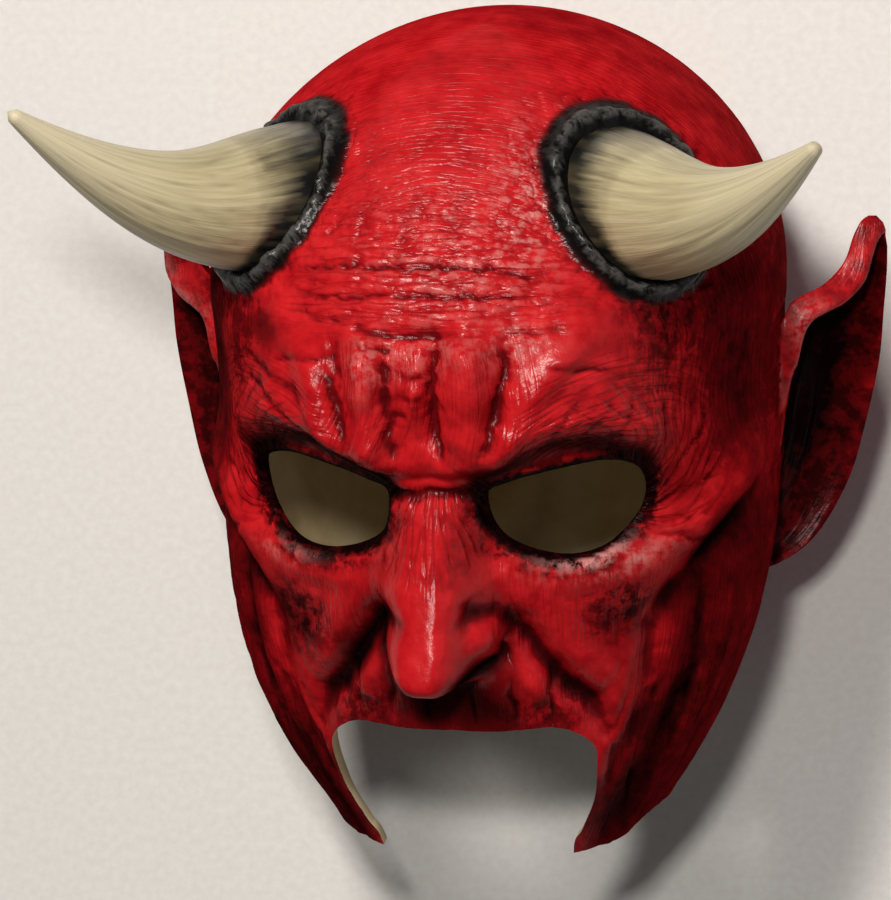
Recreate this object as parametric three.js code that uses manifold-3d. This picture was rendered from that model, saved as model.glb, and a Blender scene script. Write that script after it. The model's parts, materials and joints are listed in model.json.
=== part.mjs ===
import * as THREE from "three";
import { mergeVertices } from "three/addons/utils/BufferGeometryUtils.js";
import Module from "manifold-3d";

const wasm = await Module();
wasm.setup();

// A demon mask cast in latex, with two horns set in sockets above the forehead. All sizes are millimetres.
// The head frame has its origin midway between the eyes: u to the wearer's left, v up, w forward.

// Head: half width and depth at the widest level, and how the crown closes above it
const CROWN_BASE_V = 35;
const CROWN_TOP_V = 108;
const HEAD_BOTTOM_V = -136;
const ARC_RADIUS = 80;
const CROWN_WIDTH_POWER = 1.95;
const CROWN_FRONT_POWER = 1.6;
const CROWN_BACK_POWER = 2.0;
const HALF_WIDTHS = [
  [-136, 34], [-110, 46.5], [-95, 56], [-80, 64.5], [-60, 72.5], [-40, 77], [0, 79], [35, 80],
];
const FRONTS = [
  [-136, -20], [-110, -9], [-95, -3], [-80, 2], [-60, 4], [-30, 5], [-10, 7], [5, 9.5], [20, 13], [35, 17],
];
const CENTRES = [[-136, -40], [-110, -44], [-80, -50], [-40, -64], [0, -76], [35, -80]];
const BACKS = [[-136, -140], [-95, -143], [-80, -146], [-60, -153], [-40, -162], [0, -174], [35, -177]];
const WALL = 3.2;

// Nose: the height and reach of its ridge along the midline, and its half width, by level down the face
const NOSE_TOP_V = 12;
const NOSE_BASE_V = -64;
const NOSE_LEAN = 0.8;
const NOSE_FULL_REACH = 33;
const NOSE_SECTION_POWER = 4;
const NOSE_HOLLOW_SHARE = 0.72;
const NOSE_RIDGE = [
  [12, 12, 11], [6, 6, 16], [0, -1, 20], [-10, -10.5, 23.5], [-20, -20.5, 28], [-30, -30.5, 33],
  [-36, -36.5, 36], [-41, -41.2, 37], [-45, -44.2, 33.5], [-49, -44.8, 25], [-53, -45, 16], [-57, -48.5, 9],
  [-64, -64, 4],
];
const NOSE_HALF_WIDTHS = [[-64, 12.5], [-44, 11.4], [-30, 12.2], [-15, 11.8], [0, 10.8], [12, 10]];

// Forms of the face: places are [s, v], s the distance round the head from the midline. The inner wall passes
// straight behind the massive ones.
const LUMPS = [
  { at: [34, -2], half: [25, 15], rise: -3.5, name: "eye socket" },
  { at: [50, -24], half: [20, 12], rise: 4, name: "cheekbone" },
  { at: [88, 22], half: [18, 24], rise: -2.5, name: "temple" },
  { at: [14.2, -33.5], half: [4.8, 6.6], rise: 7.5, name: "wing of the nose", massive: true },
  { at: [17.5, -50], half: [3.6, 5], rise: 1.6, name: "lip fold beside the nose" },
  { at: [25, -53], half: [4.5, 7], rise: 2.6, name: "outer lip fold" },
  { at: [12.5, -58], half: [4.8, 6], rise: 2.2, name: "inner lip fold" },
];
const SINGLE_LUMPS = [
  { at: [-0.5, 16], half: [9, 8], rise: 3, name: "root of the nose" },
  { at: [42, 51], half: [9, 5], rise: 1.5, name: "left swell above the brow" },
  { at: [-42, 49], half: [9, 5], rise: 1.2, name: "right swell above the brow" },
];
const BROW = { path: [[8, 15], [18, 20.5], [30, 26.5], [44, 27], [55, 21], [64, 11]], half: 7.5, rise: 7 };
// The knots of the brow and the ridges beside them, cast massive
const BROW_KNOTS = [
  { path: [[11.2, 49], [12.4, 42], [12.7, 35.5], [11.5, 28.5], [9.5, 20]], half: 5.8, rise: 6.4 },
  { path: [[45, 45.6], [37, 41.6], [31, 37], [25, 32.7], [21.5, 26], [19, 19]], half: 4.2, rise: 3.2 },
  { path: [[-16.2, 46], [-14.8, 39], [-14.9, 33], [-13.6, 25.6], [-12.5, 19]], half: 4.8, rise: 5.6 },
  { path: [[-36, 42], [-29, 34], [-27, 27], [-23, 19]], half: 3.8, rise: 2.4 },
  { path: [[-2, 43], [-1.8, 37], [-2.4, 32], [-3, 25]], half: 2.6, rise: 1.8 },
];
const EYE_BAG = { path: [[13, -17], [30, -22], [48, -19]], half: 5, rise: 1.8 };
const CHEEK_RIDGE = { path: [[18, -21], [27, -31], [33.5, -41], [44, -51]], half: 6, rise: 3 };
const CHEEKBONE_ARCH = { path: [[57, -18], [72, -15.5], [90, -11], [104, -4]], half: 7, rise: 3.4 };
const LIP_ROLL = { path: [[0, -66], [22, -66], [36, -72]], half: 3.5, rise: 1.6 };
const NOSE_FOLD = {
  path: [[9.6, -25.6], [14.6, -28.4], [20.2, -34.7], [25.9, -43.5], [34.8, -54.4], [42.7, -60], [51, -70]],
  half: 3.6,
  rise: -4.2,
};
const CHEEK_FOLDS = [
  { path: [[104, -17], [92, -20], [79, -27], [68, -33], [61, -40]], half: 5, rise: -3 },
  { path: [[60, -44], [63, -62], [57, -84]], half: 4.5, rise: -2.4 },
  { path: [[80, -28], [81, -58], [72, -86]], half: 5, rise: -2.4 },
];
const SINGLE_FOLDS = [
  { path: [[-10, 46.6], [-9.8, 39], [-9.6, 30], [-8.8, 23], [-7, 18]], half: 2.2, rise: -1.8 },
  { path: [[3.7, 48], [2.9, 42], [2.9, 33], [3, 24], [5, 19]], half: 2.2, rise: -3 },
  { path: [[22, 47.5], [22.4, 40], [20.6, 34.6], [17.8, 28], [15.5, 22.3]], half: 2.4, rise: -2.6 },
  { path: [[-25.4, 45], [-25, 37], [-22.5, 30.5], [-20, 22]], half: 2.4, rise: -1.6 },
  { path: [[-18, 50.8], [-12, 50.1], [-6, 49.8], [0.5, 50.3], [6.2, 51.2], [13, 50.3]], half: 2.2, rise: -1.6 },
  { path: [[-12.7, 5.1], [-6.6, 5.4], [0, 7], [5, 6.5], [9.6, 6.4]], half: 2.4, rise: -2.4 },
];
const CREASE_LEVELS = [58, 65, 72];
const CREASE_HALF_LENGTH = 36;
const CREASE_HALF_WIDTH = 2.6;
const CREASE_DEPTH = 1.4;
const CREASE_SAG = 2.5;
const NOSTRIL = { path: [[7, -46], [11.5, -44], [15, -43]], half: 2.8, rise: -3.6 };
// How much of a long form is left at its ends, and how fast it fades there
const PATH_END_SHARE = 0.55;
const PATH_TAPER = 3;
// Room for the folds in the inner wall: how much wider and deeper it is than they are
const FOLD_ROOM = 7;
const FOLD_ROOM_SHARE = 1.6;

// Openings: half of each outline in the u-v plane, cut straight back along w
const EYE_HOLE = [
  [13.5, 3.5], [14.5, -6], [20, -12.5], [31, -16.5], [42, -15.5], [49.5, -9.5], [52.5, -2], [51, 6],
  [43, 9.5], [29, 8.5], [19, 6.5],
];
const EYE_CUT = [-32, 45];
const MOUTH_EDGE = [
  [0, -66.3], [26, -66.3], [33, -69.5], [36.8, -74.5], [37, -80], [35, -92], [30.5, -103], [27, -112],
  [25, -150],
];
const MOUTH_CUT = [-62, 45];
const RIM = [
  [60, -112], [-14, -112], [-30, -107], [-55, -95], [-80, -88], [-115, -84], [-150, -84], [-230, -84],
];
const RIM_CUT_DEPTH = 80;
const RIM_CUT_HALF_WIDTH = 130;

// Ears: two rails from the lobe to the point, and the depth of the cup between them
const EAR_FRONT = [
  [69, -52, -80], [72.5, -30, -79], [75, -8, -78], [77, 13, -79], [79.5, 26.5, -82.5], [88.3, 31, -88.8],
  [93.3, 36, -93.3], [95.8, 43.5, -96.8], [100, 49, -100.8],
];
const EAR_BACK = [
  [72, -55, -84], [85.5, -47.5, -93], [94.5, -32, -101], [99, -14, -104], [102, 3, -105], [103, 18, -105],
  [104, 32, -104], [103, 46, -101.5],
];
const EAR_LEAN = { left: 0.05, right: -0.04 };
const EAR_CUP = 11;
const EAR_SHEET = 1.8;
const EAR_RIDGE = { at: 0.2, half: 0.13, rise: 4.5 };

// Horns: the middle line and its radii as four control points each
const HORN_LINE = [[39.7, 66.8, -48], [61, 77.4, -16.9], [71.8, 66.8, -13.4], [107, 107.5, 13.5]];
const HORN_RADII = [22.4, 18.2, 13.4, 1.8];
const HORN_TIP_LIFT = { left: -3, right: 3 };
const HORN_BASE_SHIFT = -3.4;
const HORN_GAP = 0.35;
const SOCKET_DEPTH = 1;
const SOCKET_RING = 3.1;
const SOCKET_LUMP = 0.6;
const SOCKET_OFFSET = 1.1;

// How the empty mask lies on its back: the tilt of its nape and crown, and where that puts the eyes
const REST_TILT = THREE.MathUtils.degToRad(24);
const EYES_Y = -23.4;
const EYES_Z = 160;

// Colours and finish
const LATEX_RED = { color: 0xb3161b, roughness: 0.35, metalness: 0 };
const HORN_BONE = { color: 0xb9ad87, roughness: 0.5, metalness: 0 };

// Facets: columns over the face and behind it, and rows over the crown, down the face and below it
const OUTER_FACETS = { front: 36, back: 14, crown: 5, face: 36, neck: 4 };
const INNER_FACETS = { front: 18, back: 10, crown: 4, face: 17, neck: 3 };
const SOCKET_FACETS = { front: 20, back: 8, crown: 7, face: 12, neck: 3 };
const FRONT_ARC = 84;
const MIDLINE_CROWDING = 0.2;
const FACE_TOP_V = 78;
const FACE_BOTTOM_V = -68;

function smooth(t) {
  return t * t * (3 - 2 * t);
}

// The value at v of a list of [v, a, b, ...] stations, by a smooth cubic through them
function station(list, v, column = 1) {
  const up = list[0][0] < list[list.length - 1][0];
  const rows = up ? list : [...list].reverse();
  const last = rows.length - 1;
  if (v <= rows[0][0]) return rows[0][column];
  if (v >= rows[last][0]) return rows[last][column];
  let i = 0;
  while (rows[i + 1][0] < v) i += 1;
  const slope = (k) => {
    const a = Math.max(k - 1, 0);
    const b = Math.min(k + 1, last);
    return (rows[b][column] - rows[a][column]) / (rows[b][0] - rows[a][0]);
  };
  const span = rows[i + 1][0] - rows[i][0];
  const t = (v - rows[i][0]) / span;
  const a = rows[i][column];
  const b = rows[i + 1][column];
  const rise = smooth(t);
  return a + (b - a) * rise + span * (slope(i) * t * (1 - t) ** 2 - slope(i + 1) * t * t * (1 - t));
}

function closing(v, power) {
  const x = Math.min(1, (v - CROWN_BASE_V) / (CROWN_TOP_V - CROWN_BASE_V));
  return Math.max(0, 1 - x ** power) ** (1 / power);
}

// The bare head: a point at arc distance s round from the midline and level v
function headPoint(s, v) {
  const level = Math.min(v, CROWN_BASE_V);
  let half = station(HALF_WIDTHS, level);
  const centre = station(CENTRES, level);
  let front = station(FRONTS, level) - centre;
  let back = centre - station(BACKS, level);
  if (v > CROWN_BASE_V) {
    half *= closing(v, CROWN_WIDTH_POWER);
    front *= closing(v, CROWN_FRONT_POWER);
    back *= closing(v, CROWN_BACK_POWER);
  }
  const angle = s / ARC_RADIUS;
  const along = Math.cos(angle);
  const reach = along > 0 ? front : back;
  return new THREE.Vector3(half * Math.sin(angle), v, centre + reach * along);
}

// How near [s, v] is to a path of places: 1 on it, falling smoothly to 0, and tapered to its ends
function nearPath(s, v, form) {
  let best = 0;
  const pieces = form.path.length - 1;
  for (let i = 0; i < pieces; i += 1) {
    const [as, av] = form.path[i];
    const [bs, bv] = form.path[i + 1];
    const length2 = (bs - as) ** 2 + (bv - av) ** 2;
    const t = THREE.MathUtils.clamp(((s - as) * (bs - as) + (v - av) * (bv - av)) / length2, 0, 1);
    const d2 = (s - as - t * (bs - as)) ** 2 + (v - av - t * (bv - av)) ** 2;
    const run = (i + t) / pieces;
    const taper = Math.min(1, PATH_END_SHARE + PATH_TAPER * Math.min(run, 1 - run));
    best = Math.max(best, Math.exp(-d2 / form.half ** 2) * taper);
  }
  return best;
}

function lumpRise(s, v, form) {
  const x = (s - form.at[0]) / form.half[0];
  const y = (v - form.at[1]) / form.half[1];
  return form.rise * Math.exp(-(x * x + y * y));
}

// The rise of the large forms over the bare head
function largeRise(s, v, outside) {
  const side = Math.abs(s);
  let rise = 0;
  for (const form of LUMPS) if (outside || !form.massive) rise += lumpRise(side, v, form);
  for (const form of SINGLE_LUMPS) rise += lumpRise(s, v, form);
  for (const form of [BROW, EYE_BAG, CHEEK_RIDGE, CHEEKBONE_ARCH, LIP_ROLL]) {
    rise += form.rise * nearPath(side, v, form);
  }
  if (outside) for (const form of BROW_KNOTS) rise += form.rise * nearPath(s, v, form);
  return rise;
}

// The folds and creases that the outer skin adds
function foldRise(s, v) {
  const side = Math.abs(s);
  let rise = 0;
  for (const form of [NOSE_FOLD, NOSTRIL, ...CHEEK_FOLDS]) rise += form.rise * nearPath(side, v, form);
  for (const form of SINGLE_FOLDS) rise += form.rise * nearPath(s, v, form);
  for (const level of CREASE_LEVELS) {
    const line = level - CREASE_SAG * (s / CREASE_HALF_LENGTH) ** 2;
    const fade = Math.exp(-((s / CREASE_HALF_LENGTH) ** 4));
    rise -= CREASE_DEPTH * fade * Math.exp(-(((v - line) / CREASE_HALF_WIDTH) ** 2));
  }
  return rise;
}

// The nose draws the face forward and down along its ridge
function noseShift(s, v) {
  if (v > NOSE_TOP_V || v < NOSE_BASE_V) return new THREE.Vector3();
  const half = station(NOSE_HALF_WIDTHS, v);
  const x = Math.abs(s) / half;
  if (x > 2) return new THREE.Vector3();
  const share = Math.exp(-(x ** NOSE_SECTION_POWER)) * (1 - smooth(Math.max(0, x - 1)));
  const ridgeV = station(NOSE_RIDGE, v, 1);
  const ridgeW = station(NOSE_RIDGE, v, 2);
  const forward = ridgeW - headPoint(0, v).z;
  const lean = (NOSE_LEAN * Math.max(0, forward)) / NOSE_FULL_REACH;
  return new THREE.Vector3(lean * share, (ridgeV - v) * share, forward * share);
}

// A point of the face: its outside has folds that the inner wall lacks
function formedPoint(s, v, outside) {
  const step = 1.5;
  const at = headPoint(s, v);
  const sideways = headPoint(s + step, v).sub(headPoint(s - step, v));
  const upwards = headPoint(s, v + step).sub(headPoint(s, v - step));
  const out = sideways.cross(upwards).normalize();
  const rise = largeRise(s, v, outside) + (outside ? foldRise(s, v) : 0);
  const nose = noseShift(s, v).multiplyScalar(outside ? 1 : NOSE_HOLLOW_SHARE);
  return at.addScaledVector(out, rise).add(nose);
}

// How much deeper the inner wall lies under the folds of the outer skin
function foldRoom(s, v) {
  let room = 0;
  for (const form of [NOSE_FOLD, NOSTRIL, ...CHEEK_FOLDS]) {
    room = Math.max(room, -form.rise * nearPath(Math.abs(s), v, { ...form, half: form.half + FOLD_ROOM }));
  }
  for (const form of SINGLE_FOLDS) {
    room = Math.max(room, -form.rise * nearPath(s, v, { ...form, half: form.half + FOLD_ROOM }));
  }
  return FOLD_ROOM_SHARE * room;
}

// The skin drawn in by a depth along its own normal
function drawnIn(s, v, depth) {
  const step = 3;
  const sideways = formedPoint(s + step, v, false).sub(formedPoint(s - step, v, false));
  const upwards = formedPoint(s, v + step, false).sub(formedPoint(s, v - step, false));
  const out = sideways.cross(upwards).normalize();
  return formedPoint(s, v, false).addScaledVector(out, -depth - foldRoom(s, v));
}

function farFromMiddle(p, q, middle) {
  return p.clone().add(q).multiplyScalar(0.5).distanceTo(middle);
}

// A closed surface from rows of points, the first and last row drawn to one point each. Where the true
// middle of each cell is known, the cell is split along the diagonal that passes nearer to it.
function closedGrid(rows, top, bottom, middleOf = null) {
  const columns = rows[0].length;
  const positions = [];
  for (const row of rows) for (const p of row) positions.push(p.x, p.y, p.z);
  const topIndex = rows.length * columns;
  positions.push(top.x, top.y, top.z, bottom.x, bottom.y, bottom.z);
  const faces = [];
  for (let j = 0; j < columns; j += 1) {
    const k = (j + 1) % columns;
    const low = (rows.length - 1) * columns;
    faces.push(topIndex, j, k, topIndex + 1, low + k, low + j);
    for (let i = 0; i + 1 < rows.length; i += 1) {
      const a = i * columns;
      const b = a + columns;
      const middle = middleOf ? middleOf(i, j) : null;
      const rising = middle ? farFromMiddle(rows[i + 1][j], rows[i][k], middle) : 0;
      const falling = middle ? farFromMiddle(rows[i][j], rows[i + 1][k], middle) : 0;
      if (rising <= falling) faces.push(b + j, b + k, a + k, b + j, a + k, a + j);
      else faces.push(b + j, b + k, a + j, b + k, a + k, a + j);
    }
  }
  const geometry = new THREE.BufferGeometry();
  geometry.setAttribute("position", new THREE.Float32BufferAttribute(positions, 3));
  geometry.setIndex(faces);
  return geometry;
}

// From the head frame to the frame in which the mask lies
const toRest = new THREE.Matrix4().makeRotationX(REST_TILT).setPosition(0, EYES_Y, EYES_Z);

function solidOf(geometry, matrix = toRest) {
  const bare = geometry.clone();
  bare.deleteAttribute("normal");
  bare.deleteAttribute("uv");
  const merged = mergeVertices(bare.applyMatrix4(matrix), 1e-4);
  const vertProperties = new Float32Array(merged.attributes.position.array);
  const triVerts = new Uint32Array(merged.index.array);
  const solid = new wasm.Manifold(new wasm.Mesh({ numProp: 3, vertProperties, triVerts }));
  if (solid.volume() > 0) return solid;
  // A surface wound inwards is turned to face out
  return new wasm.Manifold(new wasm.Mesh({ numProp: 3, vertProperties, triVerts: triVerts.reverse() }));
}

function meshOf(solid, name, finish) {
  const data = solid.getMesh();
  const geometry = new THREE.BufferGeometry();
  geometry.setAttribute("position", new THREE.BufferAttribute(data.vertProperties, 3));
  geometry.setIndex(new THREE.BufferAttribute(data.triVerts, 1));
  geometry.computeVertexNormals();
  const mesh = new THREE.Mesh(geometry, new THREE.MeshStandardMaterial(finish));
  mesh.name = name;
  return mesh;
}

// Places round the head: close together over the nose, wider over the cheeks and widest behind
function columnArcs({ front, back }) {
  const halfTurn = Math.PI * ARC_RADIUS;
  const arcs = [];
  for (let i = 0; i < front; i += 1) {
    const x = (2 * i) / front - 1;
    arcs.push(FRONT_ARC * (x + MIDLINE_CROWDING * (x ** 3 - x)));
  }
  for (let i = 0; i < back; i += 1) arcs.push(FRONT_ARC + (2 * (halfTurn - FRONT_ARC) * i) / back);
  return arcs;
}

// Levels from the crown down: crowded towards its top, even down the face, and wider below it
function rowLevels({ crown, face, neck }) {
  const levels = [];
  for (let i = 1; i < crown; i += 1) {
    levels.push(FACE_TOP_V + (CROWN_TOP_V - FACE_TOP_V) * Math.sin((Math.PI / 2) * (1 - i / crown)));
  }
  for (let i = 0; i < face; i += 1) levels.push(FACE_TOP_V + ((FACE_BOTTOM_V - FACE_TOP_V) * i) / face);
  for (let i = 0; i <= neck; i += 1) {
    levels.push(FACE_BOTTOM_V + ((HEAD_BOTTOM_V - FACE_BOTTOM_V) * i) / neck);
  }
  return levels;
}

function outerSkin() {
  const arcs = columnArcs(OUTER_FACETS);
  const levels = rowLevels(OUTER_FACETS);
  const rows = levels.map((v) => arcs.map((s) => formedPoint(s, v, true)));
  const top = headPoint(0, CROWN_TOP_V);
  const bottom = new THREE.Vector3(0, HEAD_BOTTOM_V, station(CENTRES, HEAD_BOTTOM_V));
  const nextArc = (j) => (j + 1 < arcs.length ? arcs[j + 1] : arcs[0] + 2 * Math.PI * ARC_RADIUS);
  const middleOf = (i, j) => formedPoint((arcs[j] + nextArc(j)) / 2, (levels[i] + levels[i + 1]) / 2, true);
  return closedGrid(rows, top, bottom, middleOf);
}

function skinDrawnIn(depth, facets) {
  const arcs = columnArcs(facets);
  const levels = rowLevels(facets);
  const rows = levels.map((v) => arcs.map((s) => drawnIn(s, v, depth)));
  const top = headPoint(0, CROWN_TOP_V).setY(CROWN_TOP_V - depth);
  const bottom = new THREE.Vector3(0, HEAD_BOTTOM_V - WALL, station(CENTRES, HEAD_BOTTOM_V));
  return closedGrid(rows, top, bottom);
}

// A closed outline in the u-v plane, extruded along w between two depths
function cutAlongW(points, [from, to]) {
  const outline = new THREE.Shape(points.map(([u, v]) => new THREE.Vector2(u, v)));
  const geometry = new THREE.ExtrudeGeometry(outline, { depth: to - from, bevelEnabled: false });
  return geometry.translate(0, 0, from);
}

function roundedOutline(points, pieces) {
  const curve = new THREE.CatmullRomCurve3(points.map(([u, v]) => new THREE.Vector3(u, v, 0)), true);
  return curve.getPoints(pieces).slice(0, -1).map((p) => [p.x, p.y]);
}

function mirrored(points) {
  return points.map(([u, v]) => [-u, v]).reverse();
}

function eyeCuts() {
  const outline = roundedOutline(EYE_HOLE, 22);
  return [outline, mirrored(outline)].map((points) => solidOf(cutAlongW(points, EYE_CUT)));
}

function mouthCut() {
  const half = MOUTH_EDGE;
  const outline = [...half, ...mirrored(half.slice(1))];
  return solidOf(cutAlongW(outline, MOUTH_CUT));
}

// Everything below the rim, which rises from the jaw to the nape
function rimCut() {
  const lowest = RIM[0][1] - RIM_CUT_DEPTH;
  const outline = [...RIM, [RIM[RIM.length - 1][0], lowest], [RIM[0][0], lowest]];
  const shape = new THREE.Shape(outline.map(([w, v]) => new THREE.Vector2(-w, v)));
  const geometry = new THREE.ExtrudeGeometry(shape, { depth: 2 * RIM_CUT_HALF_WIDTH, bevelEnabled: false });
  geometry.translate(0, 0, -RIM_CUT_HALF_WIDTH);
  return solidOf(geometry.rotateY(Math.PI / 2));
}

// A point of an ear's rail. The two ears lean a little differently.
function railPoint(rail, t, side) {
  const lean = side > 0 ? EAR_LEAN.left : EAR_LEAN.right;
  const places = rail.map(([u, v, w]) => new THREE.Vector3(side * (u + lean * v), v, w));
  return new THREE.CatmullRomCurve3(places).getPoint(t);
}

// An ear is a cupped leaf between its two rails, thick along the front one
function ear(side, lengthwise = 14, around = 12) {
  const rows = [];
  for (let i = 1; i < lengthwise; i += 1) {
    const t = 1 - i / lengthwise;
    const front = railPoint(EAR_FRONT, t, side);
    const back = railPoint(EAR_BACK, t, side);
    const across = back.clone().sub(front);
    const along = railPoint(EAR_BACK, Math.min(1, t + 0.02), side).sub(railPoint(EAR_BACK, t - 0.02, side));
    const out = across.clone().cross(along).normalize().multiplyScalar(side > 0 ? 1 : -1);
    const body = Math.sin(Math.PI * Math.min(1, Math.max(0, t))) ** 0.5;
    const row = [];
    for (let j = 0; j < around; j += 1) {
      const turn = (-side * 2 * Math.PI * j) / around;
      const b = (1 - Math.cos(turn)) / 2;
      const cup = EAR_CUP * body * Math.sin(Math.PI * b) * Math.min(1, across.length() / 20);
      const ridge = EAR_RIDGE.rise * body * Math.exp(-(((b - EAR_RIDGE.at) / EAR_RIDGE.half) ** 2));
      const p = front.clone().addScaledVector(across, b);
      row.push(p.addScaledVector(out, ridge - cup + EAR_SHEET * body * Math.sin(turn)));
    }
    rows.push(row);
  }
  return solidOf(closedGrid(rows, railPoint(EAR_FRONT, 1, side), railPoint(EAR_FRONT, 0, side)));
}

function bezier(values, t) {
  const [a, b, c, d] = values;
  const r = 1 - t;
  return r ** 3 * a + 3 * r * r * t * b + 3 * r * t * t * c + t ** 3 * d;
}

function hornLine(side, t) {
  const lift = (side > 0 ? HORN_TIP_LIFT.left : HORN_TIP_LIFT.right) * t * t;
  const [u, v, w] = [0, 1, 2].map((k) => bezier(HORN_LINE.map((p) => p[k]), t));
  return new THREE.Vector3(side * u + HORN_BASE_SHIFT * (1 - t) ** 3, v + lift, w);
}

function hornFrame(side, t) {
  const forward = hornLine(side, t + 0.01).sub(hornLine(side, t - 0.01)).normalize();
  const level = new THREE.Vector3(0, 1, 0).cross(forward).normalize();
  return { level, upright: forward.clone().cross(level).normalize() };
}

function hornPoint(side, t, turn, extra) {
  const { level, upright } = hornFrame(side, t);
  const radius = bezier(HORN_RADII, t) + extra;
  return hornLine(side, t)
    .addScaledVector(level, radius * Math.cos(turn))
    .addScaledVector(upright, radius * Math.sin(turn));
}

function hornTube(side, extra, lengthwise = 11, around = 20) {
  const rows = [];
  for (let i = 1; i <= lengthwise; i += 1) {
    const t = 1 - i / lengthwise;
    const row = [];
    for (let j = 0; j < around; j += 1) row.push(hornPoint(side, t, (-2 * Math.PI * j) / around, extra));
    rows.push(row);
  }
  const tip = hornLine(side, 1.005);
  return solidOf(closedGrid(rows, tip, hornLine(side, 0)));
}

// Whether a point is inside the bare head
function insideHead(p) {
  if (p.y >= CROWN_TOP_V) return false;
  const centre = headPoint(ARC_RADIUS * Math.PI * 0.5, p.y);
  const facing = p.z > centre.z ? 0 : Math.PI * ARC_RADIUS;
  const reach = headPoint(facing, p.y).z - centre.z;
  return (p.x / centre.x) ** 2 + ((p.z - centre.z) / reach) ** 2 < 1;
}

// The lumpy ring of the socket follows the line where the horn leaves the skin
function socketRing(side, around = 26, section = 7) {
  const rows = [];
  for (let i = 0; i < around; i += 1) {
    const turn = (2 * Math.PI * i) / around;
    let inner = 0;
    let outer = 0.9;
    for (let k = 0; k < 20; k += 1) {
      const middle = (inner + outer) / 2;
      if (insideHead(hornPoint(side, middle, turn, 0))) inner = middle;
      else outer = middle;
    }
    const lump = SOCKET_LUMP * Math.sin(5 * turn + side) * Math.sin(3 * turn);
    const radius = SOCKET_RING + lump;
    const at = hornPoint(side, inner, turn, SOCKET_OFFSET);
    const ahead = hornLine(side, inner + 0.02).sub(hornLine(side, inner - 0.02)).normalize();
    const outward = at.clone().sub(hornLine(side, inner)).normalize();
    const row = [];
    for (let j = 0; j < section; j += 1) {
      const angle = (side * 2 * Math.PI * j) / section;
      row.push(
        at
          .clone()
          .addScaledVector(outward, radius * Math.cos(angle))
          .addScaledVector(ahead, radius * Math.sin(angle)),
      );
    }
    rows.push(row);
  }
  return solidOf(ringGrid(rows));
}

// A surface closed both ways, from rows that follow each other in a ring
function ringGrid(rows) {
  const section = rows[0].length;
  const positions = rows.flat().flatMap((p) => [p.x, p.y, p.z]);
  const faces = [];
  for (let i = 0; i < rows.length; i += 1) {
    const a = i * section;
    const b = ((i + 1) % rows.length) * section;
    for (let j = 0; j < section; j += 1) {
      const k = (j + 1) % section;
      faces.push(a + j, b + j, b + k, a + j, b + k, a + k);
    }
  }
  const geometry = new THREE.BufferGeometry();
  geometry.setAttribute("position", new THREE.Float32BufferAttribute(positions, 3));
  geometry.setIndex(faces);
  return geometry;
}

// All below a level over the table
function below(level) {
  const size = 600;
  const box = new THREE.BoxGeometry(size, size, size).translate(0, 0, level - size / 2);
  return solidOf(box, new THREE.Matrix4());
}

function build() {
  const inner = solidOf(skinDrawnIn(WALL, INNER_FACETS)).subtract(below(WALL));
  const underHorn = solidOf(skinDrawnIn(SOCKET_DEPTH, SOCKET_FACETS));
  const underSocket = solidOf(skinDrawnIn(SOCKET_DEPTH + HORN_GAP, SOCKET_FACETS));
  let shell = solidOf(outerSkin());
  for (const side of [-1, 1]) shell = shell.add(ear(side)).add(socketRing(side));
  for (const side of [-1, 1]) shell = shell.subtract(hornTube(side, HORN_GAP).subtract(underSocket));
  shell = shell.subtract(inner).subtract(mouthCut()).subtract(rimCut()).subtract(below(0));
  for (const cut of eyeCuts()) shell = shell.subtract(cut);
  const pieces = shell.decompose().sort((a, b) => b.volume() - a.volume());

  const mask = new THREE.Group();
  mask.add(meshOf(pieces[0], "mask_shell", LATEX_RED));
  mask.add(meshOf(hornTube(-1, 0).subtract(underHorn), "horn_right", HORN_BONE));
  mask.add(meshOf(hornTube(1, 0).subtract(underHorn), "horn_left", HORN_BONE));
  return mask;
}

export default build();
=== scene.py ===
"""A demon mask cast in latex and painted, with two horns, lying on the back of its head."""

import json
import math

import bpy
import numpy as np
from mathutils import Matrix, Vector, kdtree

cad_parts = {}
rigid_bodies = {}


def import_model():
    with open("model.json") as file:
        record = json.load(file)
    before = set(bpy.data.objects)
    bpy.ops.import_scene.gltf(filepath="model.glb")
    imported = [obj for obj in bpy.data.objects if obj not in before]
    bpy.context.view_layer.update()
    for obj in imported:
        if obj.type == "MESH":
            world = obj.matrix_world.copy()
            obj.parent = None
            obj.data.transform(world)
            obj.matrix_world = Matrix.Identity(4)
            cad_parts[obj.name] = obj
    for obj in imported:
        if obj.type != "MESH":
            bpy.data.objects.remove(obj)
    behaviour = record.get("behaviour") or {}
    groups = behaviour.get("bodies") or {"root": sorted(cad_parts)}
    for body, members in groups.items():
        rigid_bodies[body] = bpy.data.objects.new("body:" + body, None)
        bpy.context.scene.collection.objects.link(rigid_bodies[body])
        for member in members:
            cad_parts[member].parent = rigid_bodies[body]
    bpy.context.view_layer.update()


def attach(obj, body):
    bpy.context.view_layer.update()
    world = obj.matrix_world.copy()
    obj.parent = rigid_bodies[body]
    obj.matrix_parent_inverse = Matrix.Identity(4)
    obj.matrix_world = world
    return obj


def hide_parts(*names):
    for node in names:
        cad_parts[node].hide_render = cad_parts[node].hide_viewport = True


bl_info = {
    "name": "Demon Mask",
    "version": (1, 0, 0),
    "blender": (4, 5, 0),
    "location": "View3D > Sidebar > Demon Mask",
    "description": "Models and paints a horned demon mask cast in latex",
    "category": "Add Mesh",
}

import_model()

# Sizes are millimetres in the head frame, whose origin is midway between the eyes: u to the wearer's left,
# v up, w forward. Places on the face are [s, v], with s the distance round the head from the midline.
METRES = 0.001
REST_TILT = math.radians(24)
EYES_PLACE = (0.0, -23.4, 160.0)

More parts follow.
